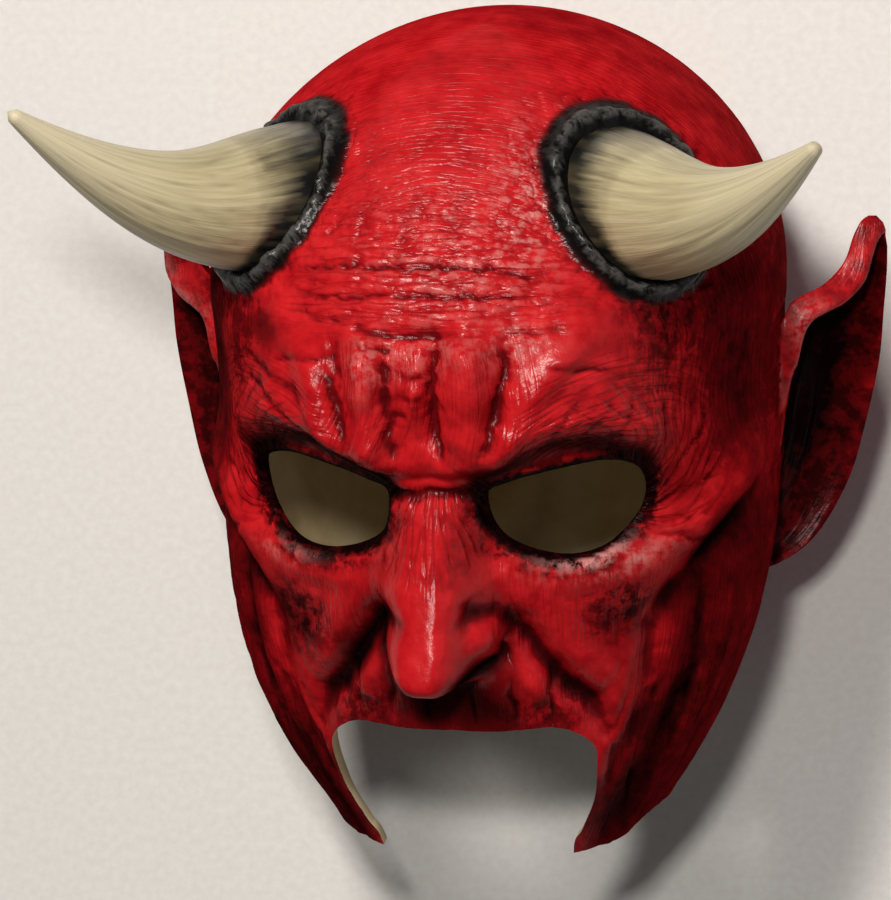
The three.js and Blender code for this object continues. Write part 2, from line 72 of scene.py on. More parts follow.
# Bare head
CROWN_BASE_V = 35
CROWN_TOP_V = 108
HEAD_BOTTOM_V = -136
ARC_RADIUS = 80
SKULL_MIDDLE = (0, 20, -76)
HALF_TURN = math.pi * ARC_RADIUS
CROWN_WIDTH_POWER = 1.95
CROWN_FRONT_POWER = 1.6
CROWN_BACK_POWER = 2.0
HALF_WIDTHS = [[-136, 34], [-110, 46.5], [-95, 56], [-80, 64.5], [-60, 72.5], [-40, 77], [0, 79], [35, 80]]
FRONTS = [
    [-136, -20], [-110, -9], [-95, -3], [-80, 2], [-60, 4], [-30, 5], [-10, 7], [5, 9.5], [20, 13], [35, 17],
]
CENTRES = [[-136, -40], [-110, -44], [-80, -50], [-40, -64], [0, -76], [35, -80]]
BACKS = [[-136, -140], [-95, -143], [-80, -146], [-60, -153], [-40, -162], [0, -174], [35, -177]]

# Nose: the height and reach of its ridge along the midline, and its half width, by level down the face
NOSE_TOP_V = 12
NOSE_BASE_V = -64
NOSE_LEAN = 0.8
NOSE_FULL_REACH = 33
NOSE_RIDGE = [
    [12, 12, 11], [6, 6, 16], [0, -1, 20], [-10, -10.5, 23.5], [-20, -20.5, 28], [-30, -30.5, 33],
    [-36, -36.5, 36], [-41, -41.2, 37], [-45, -44.2, 33.5], [-49, -44.8, 25], [-53, -45, 16], [-57, -48.5, 9],
    [-64, -64, 4],
]
NOSE_SECTION_POWER = 3.4
NOSE_HALF_WIDTHS = [[-64, 12.5], [-44, 12.8], [-30, 13.6], [-15, 13.0], [0, 11.6], [12, 10]]
# mm by which the nose hangs to the wearer's right
NOSE_ASIDE = 1.7

# Forms of both sides of the face: place, half widths and rise
LUMPS = [
    ([34, -2], [25, 15], -3.5),
    ([50, -24], [20, 12], 4),
    ([88, 22], [18, 24], -2.5),
    ([17.5, -50], [3.6, 5], 1.6),
    ([25, -53], [4.5, 7], 2.6),
    ([12.5, -58], [4.8, 6], 2.2),
]
# The wings of the nose, which the inner wall passes straight behind
NOSE_WINGS = ([14.2, -33.5], [4.8, 6.6], 7.5)
FAR_WING_SHARE = 0.12
NOSE_HOLLOW_SHARE = 0.72
# Forms of one side alone
SINGLE_LUMPS = [
    ([-0.5, 16], [9, 8], 3),
    ([42, 51], [9, 5], 1.5),
    ([-42, 49], [9, 5], 1.2),
]
# Long forms of both sides: path, half width and rise
ROLLS = [
    ([[8, 15], [18, 20.5], [30, 26.5], [44, 27], [55, 21], [64, 11]], 7.5, 7),
    ([[13, -17], [30, -22], [48, -19]], 5, 1.8),
    ([[18, -21], [27, -31], [33.5, -41], [44, -51]], 6, 3),
    ([[0, -66], [22, -66], [36, -72]], 3.5, 1.6),
    ([[57, -18], [72, -15.5], [90, -11], [104, -4]], 7, 3.4),
]
# Long forms of one side alone: the knots of the brow and the ridges beside them
SINGLE_ROLLS = [
    ([[11.2, 49], [12.4, 42], [12.7, 35.5], [11.5, 28.5], [9.5, 20]], 5.8, 6.4),
    ([[45, 45.6], [37, 41.6], [31, 37], [25, 32.7], [21.5, 26], [19, 19]], 4.2, 3.2),
    ([[-16.2, 46], [-14.8, 39], [-14.9, 33], [-13.6, 25.6], [-12.5, 19]], 4.8, 5.6),
    ([[-36, 42], [-29, 34], [-27, 27], [-23, 19]], 3.8, 2.4),
    ([[-2, 43], [-1.8, 37], [-2.4, 32], [-3, 25]], 2.6, 1.8),
]
# Long folds of both sides, the first of them from the wings of the nose to the corners of the mouth
NOSE_FOLD = [[9.6, -25.6], [14.6, -28.4], [20.2, -34.7], [25.9, -43.5], [34.8, -54.4], [42.7, -60], [51, -70]]
FOLDS = [
    (NOSE_FOLD, 3.6, -4.2),
    ([[7, -46], [11.5, -44], [15, -43]], 2.8, -3.6),
    ([[104, -17], [92, -20], [79, -27], [68, -33], [61, -40]], 5, -3),
    ([[60, -44], [63, -62], [57, -84]], 4.5, -2.4),
    ([[80, -28], [81, -58], [72, -86]], 5, -2.4),
]
# Folds of one side alone
SINGLE_FOLDS = [
    ([[-10, 46.6], [-9.8, 39], [-9.6, 30], [-8.8, 23], [-7, 18]], 2.2, -1.8),
    ([[3.7, 48], [2.9, 42], [2.9, 33], [3, 24], [5, 19]], 2.2, -3),
    ([[22, 47.5], [22.4, 40], [20.6, 34.6], [17.8, 28], [15.5, 22.3]], 2.4, -2.6),
    ([[-25.4, 45], [-25, 37], [-22.5, 30.5], [-20, 22]], 2.4, -1.6),
    ([[-18, 50.8], [-12, 50.1], [-6, 49.8], [0.5, 50.3], [6.2, 51.2], [13, 50.3]], 2.2, -1.6),
    ([[-12.7, 5.1], [-6.6, 5.4], [0, 7], [5, 6.5], [9.6, 6.4]], 2.4, -2.4),
]
# Sharp creases: path, half width and depth. Each has a soft lip along both sides.
CREASES_BOTH = [
    ([[71, -50], [66.5, -62], [65, -74], [66, -86], [70, -98]], 2.0, 0.9),
    ([[86, -45], [86, -54], [82.5, -64], [81, -75], [79, -86]], 2.0, 0.8),
    ([[97, -46], [97, -58], [93, -68], [92, -80]], 2.0, 0.8),
    ([[56, -52], [54, -66], [55, -80], [58, -94]], 1.6, 0.6),
    ([[59, -12], [66, -15], [73, -19], [81, -23]], 0.9, 0.8),
    ([[60, -9.5], [67, -11.5], [74, -12], [80, -12]], 0.8, 0.7),
    ([[60, -6.5], [67, -6], [74, -5], [86, -4]], 0.8, 0.7),
    ([[59, -2.5], [65, -1.5], [70, 1.5], [73, 6], [85, 11]], 0.8, 0.7),
    ([[58.5, -1], [62.5, 3], [64, 10], [64, 18], [68, 26]], 0.8, 0.7),
    ([[17, -38], [18.5, -46], [18, -56], [20, -64]], 1.3, 1.0),
    ([[31, -48], [30, -56], [31, -64]], 1.0, 0.8),
    ([[7, -50], [6.5, -57], [7, -64]], 1.2, 0.8),
]
UPPER_FOREHEAD_LINE = [
    [-41.7, 61.8], [-31, 64], [-17.7, 65.2], [-5, 65.3], [6.8, 65.6], [18.4, 65.1], [27, 63.2], [34, 60.3],
]
LOWER_FOREHEAD_LINE = [
    [-40, 56.5], [-28.7, 57.1], [-16, 58.4], [-7, 59.3], [1.6, 59.3], [13, 59.2], [24, 58.4], [33.5, 56.3],
]
CREASES = [
    (UPPER_FOREHEAD_LINE, 0.75, 0.8),
    (LOWER_FOREHEAD_LINE, 0.75, 0.85),
    ([[-18, 50.8], [-12, 50.1], [-6, 49.8], [0.5, 50.3], [6.2, 51.2]], 0.8, 0.35),
    ([[24, 50.5], [30, 49.5], [38, 49.5]], 0.7, 0.4),
    ([[-19, 47.5], [-13, 46.4], [-7, 46.6]], 0.8, 0.5),
    ([[-41, 53], [-30, 52.2], [-23, 51.8]], 0.7, 0.5),
    ([[-44, 39.5], [-36, 41], [-30, 41.8], [-26, 42.5]], 0.8, 0.7),
    ([[-30, 39], [-26, 37], [-24, 31.5], [-21.5, 26], [-19.5, 20]], 0.8, 0.6),
    ([[-10, 46], [-9.8, 38], [-9.6, 30], [-8.6, 21]], 0.7, 0.4),
    ([[3.7, 47], [2.9, 41], [2.9, 33], [3.2, 25], [5, 18]], 0.8, 0.35),
    ([[-8.5, 40.5], [-3.5, 40], [1.5, 40.5]], 0.7, 0.4),
    ([[-8.5, 35], [-3.5, 34.5], [1.5, 35]], 0.7, 0.4),
    ([[-8.5, 29.5], [-3.5, 29], [1.5, 29.5]], 0.7, 0.4),
    ([[22.4, 45], [22.2, 40], [20.6, 34.6], [18, 28], [15.8, 23]], 0.8, 0.5),
    ([[32, 41], [38, 39.5], [46, 38], [54, 35]], 0.8, 0.6),
    ([[42, 34], [36, 29], [32, 23]], 0.7, 0.45),
    ([[49, 31], [44, 26], [40, 21]], 0.7, 0.45),
    ([[55, 29], [51, 24], [48, 19]], 0.7, 0.45),
    ([[-62, 38], [-50, 36], [-38, 34], [-30, 29], [-25, 22]], 0.8, 0.55),
    ([[-60, 32], [-48, 32], [-38, 28], [-31, 21]], 0.8, 0.55),
    ([[-12.7, 4.8], [-6.6, 5.2], [0, 6.6], [5, 6.2], [9.6, 6.2]], 0.8, 0.7),
]
# Soft grooves beside the wing of the nose on the side in view
GROOVES = [
    ([[10.4, -21], [10.4, -26], [10.2, -31], [9.2, -36]], 1.9, 1.0),
    ([[17, -28], [17.8, -35], [17.4, -41], [16, -46]], 1.5, 1.2),
]

# Openings: half outlines as [u, v], and the least and greatest w that each cut spans
EYE_HOLE = [
    [13.5, 3.5], [14.5, -6], [20, -12.5], [31, -16.5], [42, -15.5], [49.5, -9.5], [52.5, -2], [51, 6],
    [43, 9.5], [29, 8.5], [19, 6.5],
]
EYE_CUT = (-32, 45)
MOUTH_EDGE = [
    [0, -66.3], [14, -66.2], [26, -66.3], [33, -69.5], [36.8, -74.5], [37, -80], [35, -92], [30.5, -103],
    [27, -112], [25, -150],
]
MOUTH_CUT = (-62, 45)
# The rim of the neck from the side, as [w, v]
RIM = [[60, -112], [-14, -112], [-30, -107], [-55, -95], [-80, -88], [-115, -84], [-150, -84], [-230, -84]]
RIM_CUT_DEPTH = 80
RIM_CUT_HALF_WIDTH = 130

# Ears: both edges from lobe to tip, as [u, v, w]
EAR_FRONT = [
    [69, -52, -80], [72.5, -30, -79], [75, -8, -78], [77, 13, -79], [79.5, 26.5, -82.5], [88.3, 31, -88.8],
    [93.3, 36, -93.3], [95.6, 43, -96.8], [98.4, 48.6, -100.2],
]
EAR_BACK = [
    [72, -55, -84], [85.5, -47.5, -93], [94.5, -32, -101], [99, -14, -104], [102, 3, -105], [103, 18, -105],
    [104, 32, -104], [104.2, 46, -101.5],
]
EAR_LEAN = {1: 0.05, -1: -0.04}
EAR_CUP = 11
EAR_SHEET = 1.8
# The roll along the front edge, by its distance from that edge
EAR_ROLL_AT = 4.4
EAR_ROLL_SHIFT = {1: 0, -1: 4.5}
EAR_ROLL_HALF = 3.8
EAR_ROLL_RISE = 5.5
EAR_ROLL_END = 7
EAR_TIP_FROM = 0.92

# Horns: control points and radii of the curve from root to tip, as [u, v, w]
HORN_LINE = [[39.7, 66.8, -48], [61, 77.4, -16.9], [71.8, 66.8, -13.4], [107, 107.5, 13.5]]
HORN_RADII = [22.4, 18.2, 13.4, 1.8]
HORN_TIP_LIFT = {1: -3, -1: 3}
HORN_BASE_SHIFT = -3.4
HORN_LENGTH = 92
HORN_ROOT_DEPTH = 1.5
SIDES = {"left": 1, "right": -1}

# Wrinkles: arcs round the eyes, and fans outside them that bend up with their distance
EYE_ARCS_MIDDLE = (48, -6)
EYE_ARCS_STRETCH = 1.15
FAN_BEND = 0.02

# The rings of the sockets, by their distance from the horn
SOCKET_AT = 2.3
SOCKET_HALF = 2.1
SOCKET_RISE = 3.6
# The beads along the edges of the eyes and the rims inside them, by their distance from the hole
EYE_BEAD_AT = 2.2
EYE_BEAD_HALF = 1.5
EYE_RIM = (0.6, 3.2)
# Farther than anything on the mask
FAR_AWAY = 99
# The most black wash and painted shade that lie in a valley of the skin
MOST_VALLEY_WASH_AND_SHADE = 0.62
# Where the black wash and painted shade lie thickest: [s, v], half widths and strength, for both sides. The
# painted shade falls in the corners of the eyes, under the nose, under the horns and under the cheekbones
DARK_BOTH = [
    ([13, 11], [5, 8], 0.45),
    ([58, 4], [4, 9], 0.5),
    ([11, -44], [5.5, 4.5], 1.3),
    ([0, -59], [19, 8], 1.1),
    ([70, 46], [17, 10], 0.5),
    ([66, -33], [11, 4], 0.5),
    ([88, -22], [16, 5], 0.55),
    ([28, -70], [12, 8], 0.5),
]
# For one side alone: black wash and painted shade beside the nose, on the cheeks, temple and jaw. The last
# two are less than 0 and take the wash off the wearer's right cheekbone, which stands for a painted highlight
# there
DARK_SINGLE = [
    ([-17.5, -40], [3.5, 11], 0.8),
    ([-29, -44], [8, 10], 0.5),
    ([-52, -42], [12, 12], 0.55),
    ([-50, 46], [8, 5], 0.45),
    ([92, 26], [16, 30], 0.22),
    ([72, -66], [20, 24], 0.45),
    ([48, -36], [9, 9], 0.5),
    ([54, -98], [26, 16], 0.6),
    ([-54, -90], [22, 20], 0.6),
    ([-68, -13], [12, 6], -0.55),
    ([-46, -12], [10, 7], -0.2),
]
# Black paint and painted shadow under the brows, down the inner corners of the eyes and in the folds
# beside the nose: path, half width and strength
DARK_LINES = [
    ([[15, 9], [24, 15], [34, 18.5], [46, 16], [55, 9], [58, 0]], 4.2, 0.95),
    ([[12, 10], [14, 0], [19, -10]], 2.6, 0.55),
    ([[19, -34.5], [25.9, -43.5], [34.8, -54.4], [42.7, -60]], 3.2, 0.45),
    ([[9.6, -25.6], [14.6, -28.4], [19.4, -33.6]], 1.5, 0.3),
]
# Where the black wash was dabbed on with a sponge
SPONGED = [
    ([49, -32], [9, 8], 0.9),
    ([30, -62], [14, 6], 0.5),
    ([-46, -38], [10, 10], 0.8),
    ([-52, -4], [8, 12], 1.0),
    ([56, -6], [6, 9], 0.5),
    ([-30, -62], [14, 8], 0.6),
    ([-62, 34], [12, 14], 0.5),
    ([70, 40], [14, 14], 0.5),
]
# Where the paint is dry and pale on the high places, which also stands for painted highlights
DRY_PAINT_AND_HIGHLIGHTS = [
    ([45, -18], [15, 4], 1.1),
    ([31, 78], [10, 12], 0.9),
    ([10, 62], [22, 12], 0.3),
    ([2, 72], [26, 9], 0.25),
    ([-15, 42], [5, 6], 0.4),
    ([26, 47], [9, 5], 0.55),
    ([-2, 46], [12, 5], 0.35),
    ([-48, -19], [9, 3], 0.5),
]
# Families of fine lines: cells per mm across and along, and how deep they are in the bump
FLOWS = {
    "lines_level": (0.45, 0.075, 0.85),
    "lines_down": (0.48, 0.06, 0.85),
    "lines_arcs": (0.46, 0.06, 0.8),
    "lines_fan": (0.48, 0.06, 0.9),
    "lines_nose": (0.42, 0.06, 0.8),
    "lines_comb": (0.62, 0.07, 0.45),
}
# Attributes of the skin that carry its paint, painted shade and highlights, and the one that marks vertices
# as modelled
PAINT = ("wash", "dry", "socket", "socket_dust", "sponged", "glaze", *FLOWS)
OWN = "modelled"

# Distances between the columns over the face and behind, and between the rows
FACE_STEP = 0.66
BACK_STEP = 7
ROW_STEP = 0.86

# Camera, from the eyes, as matched to the photo
CAMERA_DISTANCE = 1400
CAMERA_YAW = math.radians(14.02)
CAMERA_RISE = math.radians(21.44)
CAMERA_ROLL = math.radians(-3.535)
CAMERA_FOCUS_PIXELS = 5229.7
PHOTO_LONG_SIDE = 900
SENSOR_WIDTH = 36
EYES_FROM_MIDDLE = (-3.1, -47.2)
# Lights: mm from the eyes to the camera's right, up and back, size in metres, and colour
SOFTBOXES = {
    "key": ((-360, 600, 820), 0.18, "#FFF8F0"),
    "front": ((-90, 200, 1150), 0.1, "#FFFAF4"),
    "fill": ((760, 60, 500), 0.6, "#EEF3FF"),
}
AIR_STRENGTH = 0.06
FLOOR_SIZE = 6


def smooth(t):
    return t * t * (3 - 2 * t)


def ramp(x, low, high):
    """0 below low, 1 above high and a smooth rise between them."""
    return smooth(np.clip((x - low) / (high - low), 0, 1))


def bell(x, at, half):
    """1 at a place and falling smoothly to 0 on both sides of it."""
    return np.exp(-(((x - at) / half) ** 2))


def station(rows, v, column=1):
    """The value at v of a list of stations, by a smooth cubic through them."""
    table = np.array(rows, float)
    if table[0, 0] > table[-1, 0]:
        table = table[::-1]
    x, y = table[:, 0], table[:, column]
    last = len(x) - 1
    v = np.clip(v, x[0], x[-1])
    i = np.clip(np.searchsorted(x, v, side="left") - 1, 0, last - 1)
    before = np.maximum(np.arange(last + 1) - 1, 0)
    after = np.minimum(np.arange(last + 1) + 1, last)
    slope = (y[after] - y[before]) / (x[after] - x[before])
    span = x[i + 1] - x[i]
    t = (v - x[i]) / span
    bend = slope[i] * t * (1 - t) ** 2 - slope[i + 1] * t * t * (1 - t)
    return y[i] + (y[i + 1] - y[i]) * smooth(t) + span * bend


def closing(v, power):
    x = np.clip((v - CROWN_BASE_V) / (CROWN_TOP_V - CROWN_BASE_V), 0, 1)
    return np.maximum(0, 1 - x**power) ** (1 / power)


def girth(v):
    """The bare head at level v: its middle, half width, and the reach of its front and back."""
    level = np.minimum(v, CROWN_BASE_V)
    centre = station(CENTRES, level)
    half = station(HALF_WIDTHS, level) * closing(v, CROWN_WIDTH_POWER)
    front = (station(FRONTS, level) - centre) * closing(v, CROWN_FRONT_POWER)
    back = (centre - station(BACKS, level)) * closing(v, CROWN_BACK_POWER)
    return centre, half, front, back


def head_point(s, v):
    """The bare head at arc distance s from the midline and level v."""
    s, v = np.broadcast_arrays(np.asarray(s, float), np.asarray(v, float))
    centre, half, front, back = girth(v)
    along = np.cos(s / ARC_RADIUS)
    reach = np.where(along > 0, front, back)
    return np.stack([half * np.sin(s / ARC_RADIUS), v, centre + reach * along], -1)


def stretch_distance(s, v, start, end):
    """The distance to a straight stretch, and how far along it the nearest place is."""
    ahead_s, ahead_v = end[0] - start[0], end[1] - start[1]
    away_s, away_v = s - start[0], v - start[1]
    t = np.clip((away_s * ahead_s + away_v * ahead_v) / (ahead_s**2 + ahead_v**2), 0, 1)
    return np.hypot(away_s - t * ahead_s, away_v - t * ahead_v), t


def path_distance(s, v, path):
    """The distance to a path of places, and how far along it the nearest place is."""
    best = np.full(np.broadcast(s, v).shape, np.inf)
    run = np.zeros_like(best)
    pieces = len(path) - 1
    for i in range(pieces):
        d, t = stretch_distance(s, v, path[i], path[i + 1])
        nearer = d < best
        best = np.where(nearer, d, best)
        run = np.where(nearer, (i + t) / pieces, run)
    return best, run


def near_path(s, v, path, half):
    """1 on a path, falling smoothly to 0, and tapered to its ends."""
    d, run = path_distance(s, v, path)
    return bell(d, 0, half) * np.minimum(1, 0.55 + 3 * np.minimum(run, 1 - run))


def crease(s, v, path, half, depth):
    """A sharp valley along a path, with a soft lip on both sides, shallow at its ends."""
    d, run = path_distance(s + 0.9 * noise(v / 3.1, s / 6, 23), v + 0.9 * noise(s / 3.1, v / 6, 24), path)
    taper = ramp(np.minimum(run, 1 - run), -0.04, 0.2) * (0.75 + 0.45 * noise(s / 3.5, v / 3.5, 19))
    valley = -depth * np.exp(-((d / half) ** 1.5))
    lips = 0.45 * depth * bell(d, 2.6 * half, 1.5 * half)
    return (valley + lips) * taper


def lump(s, v, at, half, rise):
    """A rounded rise at a place, with half widths along s and v."""
    return rise * np.exp(-(((s - at[0]) / half[0]) ** 2 + ((v - at[1]) / half[1]) ** 2))


def lumps(s, v, forms):
    return sum(lump(s, v, *form) for form in forms)


def ridges(s, v, forms):
    """The rise of long forms, each given by its path, half width and rise."""
    return sum(rise * near_path(s, v, path, half) for path, half, rise in forms)


def large_rise(s, v, outside=True):
    side = np.abs(s)
    rise = lumps(side, v, LUMPS)
    if outside:
        rise = rise + lump(side, v, *NOSE_WINGS) * np.where(s < 0, FAR_WING_SHARE, 1)
    return rise + lumps(s, v, SINGLE_LUMPS) + ridges(s, v, SINGLE_ROLLS) + ridges(side, v, ROLLS)


def fold_rise(s, v):
    return ridges(np.abs(s), v, FOLDS) + ridges(s, v, SINGLE_FOLDS)


def nose_shift(s, v):
    """How the nose draws the face forward and down along its ridge."""
    x = np.abs(s + NOSE_ASIDE * (1 - ramp(v, -12, 6))) / station(NOSE_HALF_WIDTHS, v)
    share = np.exp(-(x**NOSE_SECTION_POWER)) * (1 - smooth(np.clip(x - 1, 0, 1)))
    share = np.where((v > NOSE_TOP_V) | (v < NOSE_BASE_V), 0, share)
    forward = station(NOSE_RIDGE, v, 2) - head_point(0 * v, v)[..., 2]
    lean = NOSE_LEAN * np.maximum(0, forward) / NOSE_FULL_REACH
    return np.stack([lean * share, (station(NOSE_RIDGE, v, 1) - v) * share, forward * share], -1)


def outward(surface, s, v, step):
    """The direction out of a surface, which is a function of s and v."""
    sideways = surface(s + step, v) - surface(s - step, v)
    upwards = surface(s, v + step) - surface(s, v - step)
    return unit(np.cross(sideways, upwards))


def formed_point(s, v, outside=True):
    rise = large_rise(s, v, outside) + (fold_rise(s, v) if outside else 0)
    nose = nose_shift(s, v) * (1 if outside else NOSE_HOLLOW_SHARE)
    return head_point(s, v) + outward(head_point, s, v, 1.5) * rise[..., None] + nose


def head_distance(points):
    """About how far points lie outside the bare head."""

    def size(p):
        centre, half, front, back = girth(p[..., 1])
        reach = np.where(p[..., 2] > centre, front, back)
        return np.hypot(p[..., 0] / np.maximum(half, 1), (p[..., 2] - centre) / np.maximum(reach, 1))

    slope = np.stack([(size(points + step) - size(points - step)) / 2 for step in np.eye(3)], -1)
    return (size(points) - 1) / np.maximum(0.004, np.linalg.norm(slope, axis=-1))


def unit(vectors):
    return vectors / np.maximum(1e-9, np.linalg.norm(vectors, axis=-1, keepdims=True))


def fold_room(s, v):
    """How much deeper the inner wall lies under the folds of the outer skin."""
    room = np.zeros(np.broadcast(s, v).shape)
    for across, forms in ((np.abs(s), FOLDS), (s, SINGLE_FOLDS)):
        for path, half, rise in forms:
            room = np.maximum(room, -rise * near_path(across, v, path, half + 7))
    return 1.3 * room


def drawn_in(s, v, depth):
    """The form of the head without its folds, drawn inwards by a depth."""

    def plain(s, v):
        return formed_point(s, v, False)

    return plain(s, v) - outward(plain, s, v, 3) * (depth + fold_room(s, v))[..., None]


def lattice(i, j, seed):
    """A fixed number from -1 to 1 for each place of a lattice."""
    mask = 0xFFFFFFFF
    h = (i.astype(np.int64) * 374761393 + j.astype(np.int64) * 668265263 + seed * 1442695041) & mask
    h = ((h ^ (h >> 13)) * 1274126177) & mask
    return ((h ^ (h >> 16)) & 0xFFFF) / 32767.5 - 1


def noise(x, y, seed):
    """Smooth noise from -1 to 1, with features about one unit long."""
    i, j = np.floor(x), np.floor(y)
    fx, fy = smooth(x - i), smooth(y - j)
    low = lattice(i, j, seed) * (1 - fx) + lattice(i + 1, j, seed) * fx
    high = lattice(i, j + 1, seed) * (1 - fx) + lattice(i + 1, j + 1, seed) * fx
    return low * (1 - fy) + high * fy


def wrinkles(along, across, seed, width=0.42):
    """Thin sharp valleys that run along one way: 0 between them and 1 at their floors."""
    bent = across + 0.4 * noise(along * 0.7, across * 0.45, seed + 3)
    long_ones = np.maximum(0, 1 - np.abs(noise(along, bent, seed)) / width)
    short_ones = np.maximum(0, 1 - np.abs(noise(2.1 * along, 1.9 * bent, seed + 5)) / width)
    return np.minimum(1, long_ones**1.4 + 0.5 * short_ones**1.4)


def box_mask(x, low, high, soft):
    return ramp(x, low - soft, low + soft) * (1 - ramp(x, high - soft, high + soft))


def round_place(s, v, middle, stretch=1):
    """The distance from a place on the face, and the turn round it."""
    return np.hypot(s - middle[0], stretch * (v - middle[1])), np.arctan2(v - middle[1], s - middle[0])


def sagging(s, v):
    """The level of lines across the forehead, which sag at their ends."""
    return v + 2.5 * (s / 36) ** 2


def fine_rise(s, v):
    """The middling wrinkles of the skin, each family where the face has it."""
    side = np.abs(s)
    rise = -0.12 * wrinkles(s / 3.4, v / 3.4, 10) * (1 - ramp(v, 60, 95)) * (1 - ramp(side, 60, 80))
    sag = sagging(s, v)
    # Forehead: long creases across it, with short ones that cross them
    mask = (1 - ramp(side, 34, 50)) * box_mask(v, 49, 76, 5)
    rise -= 0.55 * mask * wrinkles(s / 14, sag / 3.2, 11)
    rise -= 0.1 * mask * wrinkles(v / 3, s / 4.2, 13)
    rise += 0.16 * mask * noise(s / 2.2, sag / 1.5, 14)
    mask = (1 - ramp(side, 30, 46)) * box_mask(v, 52, 94, 8)
    rise -= 0.2 * mask * wrinkles(s / 7, sag / 2.2, 12)
    # Between the brows: beaded folds down towards the nose
    beads = sum(near_path(s, v, form[0], 3.4) for form in SINGLE_FOLDS[:4])
    beads = beads + near_path(s, v, SINGLE_ROLLS[4][0], 3)
    rise += 0.55 * np.clip(beads, 0, 1) * noise(s / 1.9, v / 2.1, 21)
    mask = (1 - ramp(side, 24, 34)) * box_mask(v, 18, 50, 4)
    rise -= 0.22 * mask * wrinkles(v / 6, (s + 0.8 * np.sin(v / 3)) / 2.9, 22)
    rise += 0.16 * mask * noise(s / 2.6, v / 3.2, 23)
    # Brows and below them: arcs round the eyes
    reach, turn = round_place(side, v, EYE_ARCS_MIDDLE, EYE_ARCS_STRETCH)
    mask = box_mask(reach, 22, 54, 5) * ramp(v, 12, 20) * ramp(side, 17, 25) * (1 - ramp(v, 40, 50))
    rise -= 0.34 * mask * wrinkles(34 * turn / 9, reach / 3.2, 31)
    # Outer corners of the eyes: wrinkles that fan out and bend up
    reach, turn = round_place(side, v, (53, -5))
    turn = turn - FAN_BEND * reach
    mask = box_mask(reach, 5, 36, 5) * (1 - ramp(np.abs(turn - 0.3), 0.9, 1.5))
    rise -= 0.4 * mask * wrinkles(reach / 12, turn * (4.5 + reach / 7), 41)
    # Temples: wavy folds down the side
    mask = box_mask(side, 62, 108, 6) * box_mask(v, 8, 60, 8)
    rise -= 0.34 * mask * wrinkles(v / 14, (side + 2.0 * np.sin(v / 8)) / 3.2, 51)
    # Upper cheeks: fine folds that hang from the lower edge of the eyes
    mask = box_mask(side, 15, 54, 6) * box_mask(v, -40, -18, 4)
    rise -= 0.3 * mask * wrinkles(v / 8, (side + 0.35 * v) / 2.8, 61)
    # Root of the nose: wrinkles that fan down from the bridge
    reach, turn = round_place(-v, s, (-22, 0))
    mask = box_mask(reach, 16, 44, 4) * (1 - ramp(side, 14, 20)) * ramp(side, 1, 5) * (1 - ramp(v, 4, 12))
    rise -= 0.34 * mask * wrinkles(reach / 7, turn * 12, 71)
    # Cheeks: long soft folds down to the jaw, with finer ones between them
    mask = ramp(side, 54, 64) * (1 - ramp(side, 112, 124)) * (1 - ramp(v, -34, -24))
    rise += 0.6 * mask * noise(v / 22, (side + 0.16 * v) / 6, 81)
    rise -= 0.22 * mask * wrinkles(v / 12, (side + 0.16 * v) / 3.0, 82)
    mask = box_mask(side, 36, 56, 5) * (1 - ramp(v, -36, -28))
    rise -= 0.28 * mask * wrinkles((v - side) / 14, (side + 0.8 * v) / 3.8, 83)
    # Upper lip: folds from the nose to the edge
    mask = (1 - ramp(side, 30, 40)) * (1 - ramp(v, -56, -49))
    return rise - 0.3 * mask * wrinkles(v / 8, s / 3.0, 91)


def once_round(s):
    """The distance round the head, drawn back to 0 behind it so that it has no jump there."""
    side = np.abs(s)
    back = (HALF_TURN - side) * 150 / (HALF_TURN - 150)
    return np.sign(s) * np.where(side > 150, back, side)


